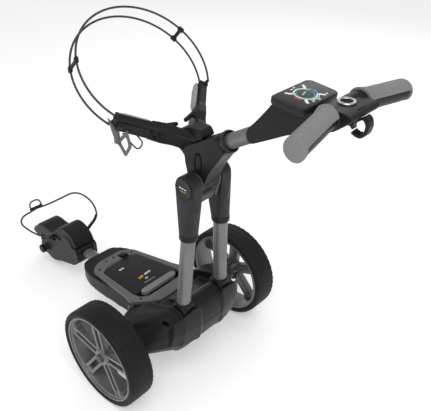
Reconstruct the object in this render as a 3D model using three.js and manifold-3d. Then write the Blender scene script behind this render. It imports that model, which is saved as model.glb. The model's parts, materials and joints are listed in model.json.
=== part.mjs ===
// Electric golf trolley: a battery-driven cart with two large drive wheels at the back, one small
// wheel in front, a folding strut frame, a Y-shaped upper bag support and a T handle.
// Millimetres. +X is the direction of travel, +Y the trolley's left, +Z up. Every sub-part is drawn
// with the drive axle above X = 0 and the ground at Z = 0; the whole trolley is moved along X at the
// end, so that its origin lies under the middle of its length.
import * as THREE from 'three';
import { mergeVertices } from 'three/addons/utils/BufferGeometryUtils.js';
import { ConvexGeometry } from 'three/addons/geometries/ConvexGeometry.js';
import Module from 'manifold-3d';

const wasm = await Module();
wasm.setup();

// ---------------------------------------------------------------- driving dimensions

const GAP = 0.3;                    // between two pieces that rest on each other
const SLIDE = 0.5;                  // between two pieces that move past each other
const CENTRE_X = 78.2;              // middle of the trolley's length, from the drive axle
const FAR = 400;                    // larger than any piece: size of a cutting block

const WHEEL = { radius: 140, halfWidth: 37.25, centreY: 242.3, rimRadius: 123.2, boreRadius: 8.4, spokes: 5, sides: 32 };
const AXLE = { radius: 8, halfLength: 250, z: 140 };
const BUTTON = { radius: 12, inner: 15, outer: 32 };

const FRONT = { x: 608, radius: 69, axleRadius: 5, armInner: 29, armOuter: 40, sides: 28 };
const KNOB = { radius: 15, teeth: 12, inner: 44.5, outer: 58 };
const NECK = { z: 122, width: 40, height: 27, rear: 325, front: 452 };

const DECK = { slope: 0.1227, x: 241, z: 170, ring: 12, lid: 8 };   // top of the battery bay
const STRUT_PIVOT = { x: -110, z: 240, pin: 5, foot: 26, inner: 46, outer: 90.5, rod: 95.2 };
const STRUT = { width: 35, depth: 38, low: [-110.5, 68.5, 272.5], high: [-122.6, 56.5, 468.3] };
const BOSS = { x: -121, z: 609, radius: 29.5, inner: 31.3, outer: 64, cap: 68.5, capRadius: 26, pin: 6 };
const SHAFT = { radius: 17.5, x: -204, z: 733, angle: THREE.MathUtils.degToRad(31.1) };
const ARM = { root: [-100, 9, 700], mid: [-68, 38, 712], low: [-37, 69, 727], tip: [18, 134, 756] };
const HOOP = { x: 71.7, z: 820.4, tilt: THREE.MathUtils.degToRad(44.8), rise: 158.4, side: 168.6 };
const STRAND = { radius: 2.5, offset: 19.3, end: THREE.MathUtils.degToRad(121), steps: 46 };
const GRIP = { radius: 22, core: 13, inner: [-463, 49, 882], end: [-485, 175, 873.5] };
const DISPLAY = { x: -381, z: 887, length: 74, width: 124, thickness: 13, corner: 14, tilt: 6.2 };
const DIAL = { x: -467, z: 897, outer: 17.5, inner: 11, height: 5 };
const CORD = { radius: 3, sides: 8, steps: 36 };

// ---------------------------------------------------------------- materials

const finish = (color, roughness, metalness = 0) => new THREE.MeshStandardMaterial({
  color, roughness, metalness, flatShading: true,
});
const blackPlastic = finish(0x2a2a2b, 0.6);
const darkPlastic = finish(0x3b3b3c, 0.5);
const greyPaint = finish(0x707072, 0.35, 0.4);
const greyPlastic = finish(0x6c6c6e, 0.5);
const lightGrey = finish(0x8a8a8b, 0.7);
const tyreRubber = finish(0x202021, 0.85);
const rimGrey = finish(0x6a6a6c, 0.35, 0.5);
const steel = finish(0x9a9a9c, 0.3, 0.9);
const motorMetal = finish(0x8b8d90, 0.4, 0.8);
const boardGreen = finish(0x1d5a34, 0.5);
const glassBlack = finish(0x101113, 0.08);
const chrome = finish(0xc8c8ca, 0.15, 1);
const braid = finish(0x2c2c2c, 0.9);

// ---------------------------------------------------------------- solids

/** The manifold solid of a closed three.js geometry, with its faces turned outwards. */
function solid(geometry) {
  const bare = geometry.clone();
  bare.deleteAttribute('normal');
  bare.deleteAttribute('uv');
  const merged = mergeVertices(bare, 1e-3);
  const corners = merged.index.array;
  const faces = [];
  for (let i = 0; i < corners.length; i += 3) {
    const [a, b, c] = corners.slice(i, i + 3);
    if (a !== b && b !== c && c !== a) faces.push(a, b, c);
  }
  const vertProperties = new Float32Array(merged.attributes.position.array);
  const make = (list) => new wasm.Manifold(new wasm.Mesh({
    numProp: 3, vertProperties, triVerts: new Uint32Array(list),
  }));
  const made = make(faces);
  return made.volume() > 0 ? made : make(faces.reverse());
}

const join = (...parts) => parts.reduce((all, part) => all.add(part));
const cut = (body, ...tools) => tools.reduce((left, tool) => left.subtract(tool), body);

/** The three.js geometry of a manifold solid. */
function geometryOf(body) {
  const mesh = body.getMesh();
  const geometry = new THREE.BufferGeometry();
  geometry.setAttribute('position', new THREE.BufferAttribute(mesh.vertProperties, 3));
  geometry.setIndex(new THREE.BufferAttribute(mesh.triVerts, 1));
  return geometry;
}

/** Adds a named sub-part to its group. */
function add(group, name, body, material) {
  const mesh = new THREE.Mesh(geometryOf(body), material);
  mesh.name = name;
  group.add(mesh);
}

const AXES = {
  X: [[0, 1, 0], [0, 0, 1], [1, 0, 0]],
  Y: [[1, 0, 0], [0, 0, 1], [0, -1, 0]],
  Z: [[1, 0, 0], [0, 1, 0], [0, 0, 1]],
};
const vector = ([x, y, z]) => new THREE.Vector3(x, y, z);
const frameOf = (axis) => new THREE.Matrix4().makeBasis(...AXES[axis].map(vector));
const mirrored = (points) => points.concat(points.map(([a, b]) => [a, -b]).reverse());
const sided = ([x, y, z], side) => [x, side * y, z];

/** A closed outline from its corner points. */
function outline(points) {
  return new THREE.Shape(points.map(([a, b]) => new THREE.Vector2(a, b)));
}

/** An outline whose corners are rounded by the given radius. */
function softOutline(points, radius) {
  const shape = new THREE.Shape();
  const corners = points.map(([a, b]) => new THREE.Vector2(a, b));
  corners.forEach((corner, i) => {
    const before = corners[(i + corners.length - 1) % corners.length];
    const after = corners[(i + 1) % corners.length];
    const reach = (other) => Math.min(radius, 0.45 * corner.distanceTo(other));
    const start = corner.clone().add(before.clone().sub(corner).setLength(reach(before)));
    const end = corner.clone().add(after.clone().sub(corner).setLength(reach(after)));
    if (i === 0) shape.moveTo(start.x, start.y);
    else shape.lineTo(start.x, start.y);
    shape.quadraticCurveTo(corner.x, corner.y, end.x, end.y);
  });
  shape.closePath();
  return shape;
}

/** A shape pushed along X, Y or Z between two places; it is drawn in (y,z), (x,z) or (x,y). */
function slab(axis, shape, from, to, curveSegments = 2) {
  const geometry = new THREE.ExtrudeGeometry(shape, { depth: to - from, bevelEnabled: false, curveSegments });
  geometry.translate(0, 0, axis === 'Y' ? -to : from);
  return solid(geometry.applyMatrix4(frameOf(axis)));
}

const block = (x0, x1, y0, y1, z0, z1) => slab('Z', outline([[x0, y0], [x1, y0], [x1, y1], [x0, y1]]), z0, z1);

/** A round bar between two points. */
function rod(from, to, radius, segments = 24, farRadius = radius) {
  const a = vector(from);
  const b = vector(to);
  const geometry = new THREE.CylinderGeometry(farRadius, radius, a.distanceTo(b), segments);
  const turn = new THREE.Quaternion().setFromUnitVectors(new THREE.Vector3(0, 1, 0), b.clone().sub(a).normalize());
  geometry.applyQuaternion(turn);
  return solid(geometry.translate(...a.add(b).multiplyScalar(0.5).toArray()));
}

const crossRod = (x, z, radius, y0, y1, segments = 24) => rod([x, y0, z], [x, y1, z], radius, segments);

/** A profile of [radius, y] points turned about the Y axis. */
function turned(profile, segments) {
  return solid(new THREE.LatheGeometry(profile.map(([r, y]) => new THREE.Vector2(r, y)), segments));
}

/** The points of an oval about a centre, drawn along two directions. */
function ring(centre, alongA, alongB, count = 20) {
  const points = [];
  for (let i = 0; i < count; i += 1) {
    const angle = (2 * Math.PI * i) / count;
    const point = vector(centre).addScaledVector(vector(alongA), Math.cos(angle));
    points.push(point.addScaledVector(vector(alongB), Math.sin(angle)));
  }
  return points;
}

const levelOval = (centre, halfX, halfY) => ring(centre, [halfX, 0, 0], [0, halfY, 0]);
const sideDisc = (x, y, z, radius) => ring([x, y, z], [radius, 0, 0], [0, 0, radius]);
const wrap = (...lists) => solid(new ConvexGeometry(lists.flat()));

/** The eight corners of a box about a centre, turned to three directions. */
function cornersOf(centre, directions, halves) {
  const points = [];
  for (let i = 0; i < 8; i += 1) {
    const point = vector(centre);
    directions.forEach((direction, k) => point.addScaledVector(direction, (i >> k) & 1 ? halves[k] : -halves[k]));
    points.push(point);
  }
  return points;
}

/** A tube of round section along a smooth curve through the points. */
function tube(points, radius, sides, steps) {
  const section = new THREE.Shape().absarc(0, 0, radius, 0, 2 * Math.PI);
  const extrudePath = new THREE.CatmullRomCurve3(points.map(vector), false, 'centripetal');
  return solid(new THREE.ExtrudeGeometry(section, { steps, extrudePath, curveSegments: sides / 2 }));
}

/** The height of the sloping deck over the battery bay. */
const deckZ = (x) => DECK.z + (DECK.x - x) * DECK.slope;

/** Everything below the sloping deck lowered by the given drop. */
function underDeck(drop) {
  const profile = [[-FAR, -FAR], [FAR, -FAR], [FAR, deckZ(FAR) - drop], [-FAR, deckZ(-FAR) - drop]];
  return slab('Y', outline(profile), -FAR, FAR);
}

const trolley = new THREE.Group();

// ---------------------------------------------------------------- rear housing and drive

const trayPlan = mirrored([[14, 60], [40, 82], [226, 90], [286, 88], [330, 74], [362, 48]]);
const bodySide = [
  [104, 112], [104, 150], [62, 176], [2, 184], [-3, 200], [-60, 210], [-84, 212], [-141, 214],
  [-147, 188], [-136, 144], [-108, 110], [-64, 88], [0, 78], [60, 90],
];
const bodyRear = [[84, 240], [97, 205], [104, 170], [102, 110], [88, 88], [60, 70]];
const bodyPlan = mirrored([[104, 98], [-58, 106], [-100, 100], [-130, 82], [-148, 46]]);
const cheekSide = [
  [26, 120], [26, 200], [8, 218], [-62, 244], [-94, 261], [-120, 262], [-137, 248], [-140, 205], [-120, 130],
];
const humpSide = [
  [0, 170], [-8, 205], [-80, 236], [-90, 258], [-110, 268], [-130, 258], [-142, 236], [-147, 195], [-130, 170],
];
const SPLIT_Z = 106;                // upper and lower shell meet here
const CHEEK = { y: 94.8, half: 3.3 };                       // thin plates beside the strut feet
const HUMP_HALF = 44.5;
const MOTOR = { x: -50, z: 153, radius: 28, end: 70 };
const BEARING = { outer: 22, half: 6, y: 184 };
const HORN = { from: 90, to: 196, rootRadius: 60, tipRadius: 44, sides: 20 };   // cones round the axle

/** The drive's whole outer shape: body, cheeks beside the feet, middle hump and axle horns. */
function housingShape() {
  const facing = bodyRear.concat(bodyRear.map(([y, z]) => [-y, z]).reverse());
  const body = slab('Y', softOutline(bodySide, 14), -FAR, FAR)
    .intersect(slab('X', softOutline(facing, 16), -FAR, FAR))
    .intersect(slab('Z', softOutline(bodyPlan, 20), -FAR, FAR));
  const cheek = (side) => slab('Y', softOutline(cheekSide, 14), side * CHEEK.y - CHEEK.half, side * CHEEK.y + CHEEK.half);
  const hump = slab('Y', softOutline(humpSide, 12), -HUMP_HALF, HUMP_HALF);
  const horn = (side) => rod([0, side * HORN.from, AXLE.z], [0, side * HORN.to, AXLE.z],
    HORN.rootRadius, HORN.sides, HORN.tipRadius);
  return join(body, cheek(1), cheek(-1), hump, horn(1), horn(-1));
}

/** The room inside the drive, a wall's thickness in from its outer shape. */
function housingRoom() {
  const room = slab('Y', softOutline([
    [12, 108], [12, 176], [-8, 190], [-60, 204], [-84, 206], [-126, 208], [-130, 185], [-120, 142], [-98, 116],
    [-60, 94], [0, 84], [12, 86],
  ], 8), -80, 80);
  const horns = crossRod(0, AXLE.z, BEARING.outer + GAP, -HORN.to - 1, HORN.to + 1, 24);
  return join(room, horns);
}

function buildHousing() {
  const shape = housingShape();
  const room = housingRoom();
  const tray = slab('Z', outline(trayPlan), TRAY_FLOOR - 2, FAR);
  const spread = (body) => join(body.translate([-SLIDE, 0, 0]), body.translate([0, SLIDE, 0]), body.translate([0, -SLIDE, 0]));
  const ringRoom = cut(slab('Z', softOutline(ringPlan, 12), 100, FAR), underDeck(DECK.ring + GAP));
  const bayRoom = join(spread(tray), spread(ringRoom));
  const footMiddle = (STRUT_PIVOT.inner + STRUT_PIVOT.outer) / 2;
  const footHalf = (STRUT_PIVOT.outer - STRUT_PIVOT.inner) / 2 + 0.75;
  const footRoom = (side) => crossRod(STRUT_PIVOT.x, STRUT_PIVOT.z, STRUT_PIVOT.foot + 2,
    side * footMiddle - footHalf, side * footMiddle + footHalf, 28);
  const pinBore = crossRod(STRUT_PIVOT.x, STRUT_PIVOT.z, STRUT_PIVOT.pin + GAP, -STRUT_PIVOT.rod - 0.4, STRUT_PIVOT.rod + 0.4, 16);
  const above = block(-FAR, FAR, -FAR, FAR, SPLIT_Z + GAP, FAR);
  const below = block(-FAR, FAR, -FAR, FAR, -FAR, SPLIT_Z);
  const upper = cut(shape.intersect(above), room, bayRoom, footRoom(1), footRoom(-1), pinBore);
  const lower = cut(shape.intersect(below), room, bayRoom);
  add(trolley, 'rear_housing', upper, blackPlastic);
  add(trolley, 'housing_base', lower, blackPlastic);
  const pivotRod = crossRod(STRUT_PIVOT.x, STRUT_PIVOT.z, STRUT_PIVOT.pin, -STRUT_PIVOT.rod, STRUT_PIVOT.rod, 16);
  add(trolley, 'strut_pivot_rod', pivotRod, steel);
}

function buildDrive() {
  const caseSide = [[11, 112], [11, 168], [-30, 184], [-84, 184], [-84, 122], [-32, 110]];
  const gearCase = cut(slab('Y', softOutline(caseSide, 10), -30, 8), crossRod(0, AXLE.z, AXLE.radius + SLIDE, -40, 20));
  add(trolley, 'gearbox', gearCase, motorMetal);
  const shell = crossRod(MOTOR.x, MOTOR.z, MOTOR.radius, 8 + GAP, MOTOR.end, 24);
  const endCap = crossRod(MOTOR.x, MOTOR.z, MOTOR.radius / 2, MOTOR.end - 1, MOTOR.end + 7, 16);
  add(trolley, 'drive_motor', join(shell, endCap), motorMetal);
  const plate = block(-100, -34, -62, -60, 122, 184);
  const parts = [[-88, 140, 14], [-72, 158, 20], [-54, 134, 12], [-90, 172, 10]];
  const chips = parts.map(([x, z, size]) => block(x - size / 2, x + size / 2, -60.5, -50, z - size / 2, z + size / 2));
  add(trolley, 'control_board', join(plate, ...chips), boardGreen);
  for (const [name, side] of [['left', 1], ['right', -1]]) {
    const inner = AXLE.radius + 0.15;
    const race = [[inner, -BEARING.half], [BEARING.outer, -BEARING.half], [BEARING.outer, BEARING.half], [inner, BEARING.half]];
    const bearing = turned(closed(race), 24).translate([0, side * BEARING.y, AXLE.z]);
    add(trolley, `${name}_axle_bearing`, bearing, steel);
  }
  add(trolley, 'drive_axle', crossRod(0, AXLE.z, AXLE.radius, -AXLE.halfLength, AXLE.halfLength, 24), steel);
}

// ---------------------------------------------------------------- rear wheels

const tyreSection = [
  [WHEEL.rimRadius + 0.4, -33], [131, -WHEEL.halfWidth], [137, -35], [WHEEL.radius, -26],
  [WHEEL.radius, 26], [137, 35], [131, WHEEL.halfWidth], [WHEEL.rimRadius + 0.4, 33],
];
const barrelSection = [[116, -34], [WHEEL.rimRadius, -34], [WHEEL.rimRadius, 34], [118, 34], [113, 29], [113, 24]];
const closed = (points) => [...points, points[0]];

function rimSolid() {
  const barrel = turned(closed(barrelSection), WHEEL.sides);
  const hub = turned([[0, -22], [27, -22], [27, 14], [22, 24], [0, 24]], 20);
  const spokes = [];
  for (let i = 0; i < WHEEL.spokes; i += 1) {
    const angle = (2 * Math.PI * i) / WHEEL.spokes + Math.PI / 2;
    const along = new THREE.Vector3(Math.cos(angle), 0, Math.sin(angle));
    const across = new THREE.Vector3(-Math.sin(angle), 0, Math.cos(angle));
    const out = new THREE.Vector3(0, 1, 0);
    const place = (radius, y) => along.clone().multiplyScalar(radius).addScaledVector(out, y).toArray();
    const near = cornersOf(place(20, 12), [along, across, out], [2, 14, 7]);
    const far = cornersOf(place(114, 23), [along, across, out], [2, 13, 7]);
    spokes.push(wrap(near, far));
  }
  const bore = turned([[0, -30], [WHEEL.boreRadius, -30], [WHEEL.boreRadius, 12], [0, 12]], 20);
  const pocket = turned([[0, 10], [BUTTON.radius + SLIDE, 10], [BUTTON.radius + SLIDE, 40], [0, 40]], 20);
  return cut(join(barrel, hub, ...spokes), bore, pocket);
}

function buildRearWheel(name, side) {
  const wheel = new THREE.Group();
  wheel.position.set(0, side * WHEEL.centreY, AXLE.z);
  wheel.rotation.z = side > 0 ? 0 : Math.PI;
  add(wheel, `${name}_tyre`, turned(closed(tyreSection), WHEEL.sides), tyreRubber);
  add(wheel, `${name}_rim`, rimSolid(), rimGrey);
  const button = turned([[0, BUTTON.inner], [BUTTON.radius, BUTTON.inner], [BUTTON.radius, 30], [9, BUTTON.outer],
    [0, BUTTON.outer]], 20);
  add(wheel, `${name}_hub_button`, button, darkPlastic);
  trolley.add(wheel);
}

// ---------------------------------------------------------------- battery bay

const ringPlan = mirrored([[0, 48], [24, 78], [62, 110], [96, 98], [276, 77], [300, 44]]);
const lidPlan = mirrored([[74, 76], [84, 79], [238, 64], [252, 46]]);
const casePlan = mirrored([[44, 60], [60, 76], [84, 77.5], [238, 62.5], [250, 45]]);
const BAY_FLOOR = 122;
const TRAY_FLOOR = 110;
const LATCH_PIVOT = { x: 265, z: 144 };

function buildBattery() {
  const bay = mirrored([[42, 61], [59, 77.2], [84, 80.4], [239, 65.2], [253.5, 46.5]]);
  const bayRoom = slab('Z', outline(bay), BAY_FLOOR, FAR);
  const ringPlate = slab('Z', softOutline(ringPlan, 12), 100, 230).intersect(underDeck(0));
  add(trolley, 'tray_surround', cut(ringPlate, underDeck(DECK.ring), bayRoom, latchRoom()), greyPlastic);
  const trayBlock = slab('Z', softOutline(trayPlan, 18), TRAY_FLOOR, FAR).intersect(underDeck(DECK.ring + GAP));
  const neckRoom = neckBar(NECK.rear - GAP, FAR, GAP);
  const trimmed = trayBlock.intersect(slab('Y', outline([
    [10, TRAY_FLOOR], [362, TRAY_FLOOR], [364, 138], [350, 146], [300, 152], [280, FAR], [10, FAR],
  ]), -FAR, FAR));
  add(trolley, 'battery_tray', cut(trimmed, bayRoom, neckRoom, latchRoom()), blackPlastic);

  const body = slab('Z', outline(casePlan), BAY_FLOOR + GAP, FAR).intersect(underDeck(DECK.lid + GAP));
  const step = slab('Y', outline([[20, 166], [73, 166], [73, FAR], [20, FAR]]), -FAR, FAR);
  add(trolley, 'battery_case', cut(body, step), darkPlastic);
  const lidPlate = slab('Z', softOutline(lidPlan, 10), 120, 230).intersect(underDeck(0));
  add(trolley, 'battery_lid', cut(lidPlate, underDeck(DECK.lid)), blackPlastic);
  const bar = slab('Y', softOutline([[56, 186], [56, 196], [71, 194.5], [71, 184]], 3), -56, 56);
  const leg = (side) => block(57, 70, side * 50 - 6, side * 50 + 6, 166 + GAP, 190);
  add(trolley, 'battery_handle', join(bar, leg(1), leg(-1)), lightGrey);
}

/** The room that the latch leaves in the bay's front right corner. */
const latchRoom = () => block(LATCH_PIVOT.x - 10, LATCH_PIVOT.x + 20, -46, -22, LATCH_PIVOT.z - 9, 240);

function buildLatch() {
  const profile = [[-8, -2], [-8, 24], [-10, 27], [-10, 32], [4, 31], [7, 26], [7, -2]];
  const side = softOutline(profile.map(([x, z]) => [LATCH_PIVOT.x + x, LATCH_PIVOT.z + z]), 2);
  add(trolley, 'battery_latch', slab('Y', side, -43, -25), blackPlastic);
}

/** An upright oval bar along the neck's line. */
function neckBar(from, to, grow = 0) {
  const oval = new THREE.Shape().absellipse(0, NECK.z, NECK.width / 2 + grow, NECK.height / 2 + grow, 0, 2 * Math.PI);
  return slab('X', oval, from, to, 12);
}

// ---------------------------------------------------------------- front end

function buildFront() {
  add(trolley, 'neck_tube', neckBar(NECK.rear, NECK.front), greyPaint);
  const armSide = [
    [414, 99], [440, 76], [535, 49], [600, 43], [628, 49], [637, 70], [628, 94], [590, 112], [540, 148], [416, 148],
  ];
  const arm = (side) => slab('Y', softOutline(armSide, 12), Math.min(side * FRONT.armInner, side * FRONT.armOuter),
    Math.max(side * FRONT.armInner, side * FRONT.armOuter));
  const crownSide = [[412, 99], [412, 146], [512, 147], [524, 120], [516, 88], [470, 74], [438, 79]];
  const crown = slab('Y', softOutline(crownSide, 10), -FRONT.armInner - 1, FRONT.armInner + 1);
  const wheelRoom = crossRod(FRONT.x, FRONT.radius, FRONT.radius + 7, -FRONT.armInner + 0.1, FRONT.armInner - 0.1, 32);
  const axleBore = crossRod(FRONT.x, FRONT.radius, FRONT.axleRadius + GAP, -60, 60, 16);
  const fork = cut(join(arm(1), arm(-1), crown), wheelRoom, axleBore, neckBar(400, NECK.front + GAP, GAP));
  add(trolley, 'front_fork', fork, blackPlastic);

  const cradleSide = [
    [418, 148.6], [430, 172], [446, 190], [470, 199], [494, 199], [516, 188], [540, 162], [562, 152], [584, 155],
    [608, 158], [632, 154], [646, 146], [648, 130], [628, 118], [586, 118], [548, 148.6],
  ];
  const cradle = slab('Y', softOutline(cradleSide, 8), -36, 36);
  const hoodRoom = crossRod(FRONT.x, FRONT.radius, FRONT.radius + 8, -FAR, FAR, 40);
  const forkRoom = slab('Y', softOutline([
    [414, 98], [440, 75], [535, 48], [600, 42], [628, 48], [638, 70], [629, 95], [590.5, 112.6], [540.3, 148.4],
    [416, 148.4],
  ], 12), -FAR, FAR);
  add(trolley, 'bag_cradle', cut(cradle, hoodRoom, forkRoom), blackPlastic);

  add(trolley, 'front_axle', crossRod(FRONT.x, FRONT.radius, FRONT.axleRadius, -44, 44, 16), steel);
  const wheel = new THREE.Group();
  wheel.position.set(FRONT.x, 0, FRONT.radius);
  const tread = [[46, -16], [58, -21], [64.5, -16], [68, -9], [69, 0], [68, 9], [64.5, 16], [58, 21], [46, 16]];
  const half = [[5.4, -20], [14, -20], [16, -10], [43, -12], [45.7, -14]];
  const hub = [...half, ...half.map(([r, y]) => [r, -y]).reverse()];
  add(wheel, 'front_tyre', turned(closed(tread), FRONT.sides), tyreRubber);
  add(wheel, 'front_hub', turned(closed(hub), 20), rimGrey);
  trolley.add(wheel);

  const knurl = [];
  for (let i = 0; i < 2 * KNOB.teeth; i += 1) {
    const angle = (Math.PI * i) / KNOB.teeth;
    const radius = i % 2 ? KNOB.radius - 1.6 : KNOB.radius;
    knurl.push([FRONT.x + radius * Math.cos(angle), FRONT.radius + radius * Math.sin(angle)]);
  }
  add(trolley, 'tracking_knob', slab('Y', outline(knurl), KNOB.inner, KNOB.outer), blackPlastic);
}

// The lower strap: a stretch cord round the foot of the bag, from the cradle's right to its left.
const lowerStrapRoute = [
  [474, -41, 155], [476, -63, 168], [478, -85, 181], [484, -99, 192], [497, -107, 202], [519, -113, 214],
  [543, -113, 224], [567, -109, 231], [588, -99, 234], [604, -84, 231], [619, -55, 220], [639, -18, 206],
  [650, 0, 200], [662, 19, 194], [670, 39, 185], [677, 56, 178], [679, 68, 171], [673, 78, 163],
  [658, 82, 156], [640, 79, 150], [618, 74, 144], [592, 66, 140], [570, 55, 137], [553, 45, 136],
];

function buildLowerStrap() {
  add(trolley, 'lower_strap', tube(lowerStrapRoute, CORD.radius, CORD.sides, CORD.steps), braid);
  const along = new THREE.Vector3(0.45, 0.82, -0.3).normalize();
  const up = new THREE.Vector3(0.93, 0, 0.36);
  up.addScaledVector(along, -up.dot(along)).normalize();
  const out = new THREE.Vector3().crossVectors(along, up);
  const centre = vector([662, 19, 194]);
  const bar = (a, b, c, halves) => solid(new ConvexGeometry(cornersOf(
    centre.clone().addScaledVector(along, a).addScaledVector(up, b).addScaledVector(out, c).toArray(),
    [along, up, out], halves)));
  const loop = join(bar(0, 7.6, 0, [22, 2.6, 4]), bar(-17, 18, 0, [4, 12, 1.5]), bar(17, 18, 0, [4, 12, 1.5]),
    bar(0, 31, 0, [21, 5, 1.5]));
  add(trolley, 'lower_strap_hook', loop, greyPlastic);
}

// ---------------------------------------------------------------- strut frame

/** A point on a strut's centre line at the given height. */
function strutPoint(z, side) {
  const t = (z - STRUT.low[2]) / (STRUT.high[2] - STRUT.low[2]);
  return sided(STRUT.low.map((value, i) => value + t * (STRUT.high[i] - value)), side);
}

/** The strut's oval bar between two heights. */
function strutBar(from, to, side, grow = 0) {
  const halfX = STRUT.depth / 2 + grow;
  const halfY = STRUT.width / 2 + grow;
  return wrap(levelOval(strutPoint(from, side), halfX, halfY), levelOval(strutPoint(to, side), halfX, halfY));
}

function buildStruts() {
  const pivotBore = crossRod(STRUT_PIVOT.x, STRUT_PIVOT.z, STRUT_PIVOT.pin + GAP, -FAR, FAR, 16);
  const bossBore = crossRod(BOSS.x, BOSS.z, BOSS.pin + GAP, -FAR, FAR, 20);
  const tubeFoot = 252;
  const tubeTop = 520;
  const sleeveFoot = STRUT.high[2];
  for (const [name, side] of [['left', 1], ['right', -1]]) {
    const disc = (y) => sideDisc(STRUT_PIVOT.x, side * y, STRUT_PIVOT.z, STRUT_PIVOT.foot);
    const footTop = levelOval(strutPoint(STRUT.low[2], side), 23, 21.5);
    const foot = wrap(disc(STRUT_PIVOT.inner), disc(STRUT_PIVOT.outer), footTop);
    add(trolley, `${name}_strut_foot`, cut(foot, strutBar(tubeFoot - GAP, 300, side, GAP), pivotBore), blackPlastic);
    add(trolley, `${name}_strut`, strutBar(tubeFoot, tubeTop, side), greyPaint);
    const bossDisc = (y) => sideDisc(BOSS.x, side * y, BOSS.z, BOSS.radius);
    const hem = levelOval(strutPoint(sleeveFoot, side), 23, 21.5);
    const sleeve = wrap(bossDisc(BOSS.inner), bossDisc(BOSS.outer), hem);
    const capRoom = crossRod(BOSS.x, BOSS.z, BOSS.capRadius + GAP, side * BOSS.outer, side * (BOSS.cap + 20), 32);
    add(trolley, `${name}_sleeve`, cut(sleeve, strutBar(440, tubeTop + GAP, side, GAP), bossBore, capRoom), darkPlastic);
    const capDisc = (y, radius) => sideDisc(BOSS.x, side * y, BOSS.z, radius);
    const cap = wrap(capDisc(BOSS.outer + GAP, BOSS.capRadius), capDisc(BOSS.cap - 1.5, BOSS.capRadius), capDisc(BOSS.cap, BOSS.capRadius - 3));
    add(trolley, `${name}_boss_cap`, cap, darkPlastic);
  }
  const cheek = (side) => wrap(sideDisc(BOSS.x, side * 27, BOSS.z, 27), sideDisc(BOSS.x, side * 31, BOSS.z, 27),
    ring([-119, side * 29, 556], [16, 0, 0], [0, 2, 0]));
  const saddle = slab('Y', softOutline([[-125, 548], [-124, 568], [-104, 570], [-102, 548]], 6), -31, 31);
  add(trolley, 'hinge_yoke', cut(join(cheek(1), cheek(-1), saddle), bossBore), lightGrey);
  add(trolley, 'main_hinge_pin', crossRod(BOSS.x, BOSS.z, BOSS.pin, -BOSS.outer, BOSS.outer, 20), steel);
}

// ---------------------------------------------------------------- upper frame

/** A point on the shaft's centre line, a distance back from the hinge side. */
const shaftPoint = (along) => [SHAFT.x - along * Math.cos(SHAFT.angle), 0, SHAFT.z + along * Math.sin(SHAFT.angle)];
const RELEASE = { x: -129, z: 662, halfLength: 24, halfWidth: 10 };

/** The release button's upright oval, drawn in (x,z). */
const releaseOval = (grow) => new THREE.Shape().absellipse(RELEASE.x, RELEASE.z, RELEASE.halfWidth + grow,
  RELEASE.halfLength + grow, 0, 2 * Math.PI);

function buildHingeBlock() {
  const eye = crossRod(BOSS.x, BOSS.z, 25, -26, 26, 28);
  const column = slab('Y', softOutline([
    [-97, 609], [-86, 652], [-84, 689], [-140, 721], [-176, 742], [-206, 712], [-163, 650], [-145, 611],
  ], 6), -26, 26);
  const socket = rod(shaftPoint(-70), shaftPoint(-4), 24, 28);
  const bore = rod(shaftPoint(-58), shaftPoint(20), SHAFT.radius + GAP, 28);
  const pinBore = crossRod(BOSS.x, BOSS.z, BOSS.pin + SLIDE, -40, 40, 24);
  const pocket = slab('Y', releaseOval(SLIDE), 16, 40, 12);
  add(trolley, 'hinge_block', cut(join(eye, column, socket), bore, pinBore, pocket), blackPlastic);
  add(trolley, 'release_button', slab('Y', releaseOval(0), 20.5, 27.5, 12), darkPlastic);
  add(trolley, 'shaft_tube', rod(shaftPoint(-57), shaftPoint(160), SHAFT.radius, 28), greyPaint);
}

/** The directions along an arm, out towards the bag, and across the arm's face. */
function armDirections(side) {
  const along = vector(sided(ARM.tip, side)).sub(vector(sided(ARM.low, side))).normalize();
  const bag = vector([0.545, -0.7 * side, 0.455]);
  bag.addScaledVector(along, -bag.dot(along)).normalize();
  return [along, bag, new THREE.Vector3().crossVectors(along, bag)];
}

function buildBagSupport() {
  const arms = [];
  for (const [name, side] of [['left', 1], ['right', -1]]) {
    const directions = armDirections(side);
    const [along, bag] = directions;
    const station = (place, halves) => cornersOf(sided(place, side), directions, halves);
    const stations = [
      station(ARM.root, [4, 14, 22]), station(ARM.mid, [4, 11, 20]), station(ARM.low, [4, 9, 19]),
      station(ARM.tip, [4, 8, 18]),
    ];
    for (let i = 1; i < stations.length; i += 1) arms.push(wrap(stations[i - 1], stations[i]));
    const padPlace = (place, shift, lift) => vector(sided(place, side)).addScaledVector(along, shift)
      .addScaledVector(bag, lift).toArray();
    const pad = wrap(
      cornersOf(padPlace(ARM.low, 4, 13.6), directions, [2, 3.5, 14]),
      cornersOf(padPlace(ARM.tip, 0, 13.6), directions, [2, 3.5, 14]),
    );
    add(trolley, `${name}_pad`, pad, lightGrey);
  }
  const base = slab('Y', softOutline([
    [-140, 722], [-128, 740], [-92, 738], [-60, 722], [-34, 704], [-40, 692], [-62, 686], [-83, 690],
  ], 6), -20, 20);
  const blockRoom = slab('Y', softOutline([
    [-97, 609], [-85.5, 652], [-83.6, 689.6], [-140, 721.6], [-176, 742.6], [-206, 712], [-163, 650], [-145, 611],
  ], 6), -40, 40);
  const socketRoom = rod(shaftPoint(-70), shaftPoint(20), 24.5, 28);
  add(trolley, 'bag_support', cut(join(base, ...arms), blockRoom, socketRoom), blackPlastic);
}

/** A point of the strap hoop at an angle from its foremost top point, shifted across its plane. */
function hoopPoint(angle, shift) {
  const rise = HOOP.rise * Math.cos(angle);
  return [
    HOOP.x + rise * Math.cos(HOOP.tilt) - shift * Math.sin(HOOP.tilt),
    HOOP.side * Math.sin(angle),
    HOOP.z + rise * Math.sin(HOOP.tilt) + shift * Math.cos(HOOP.tilt),
  ];
}

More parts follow.
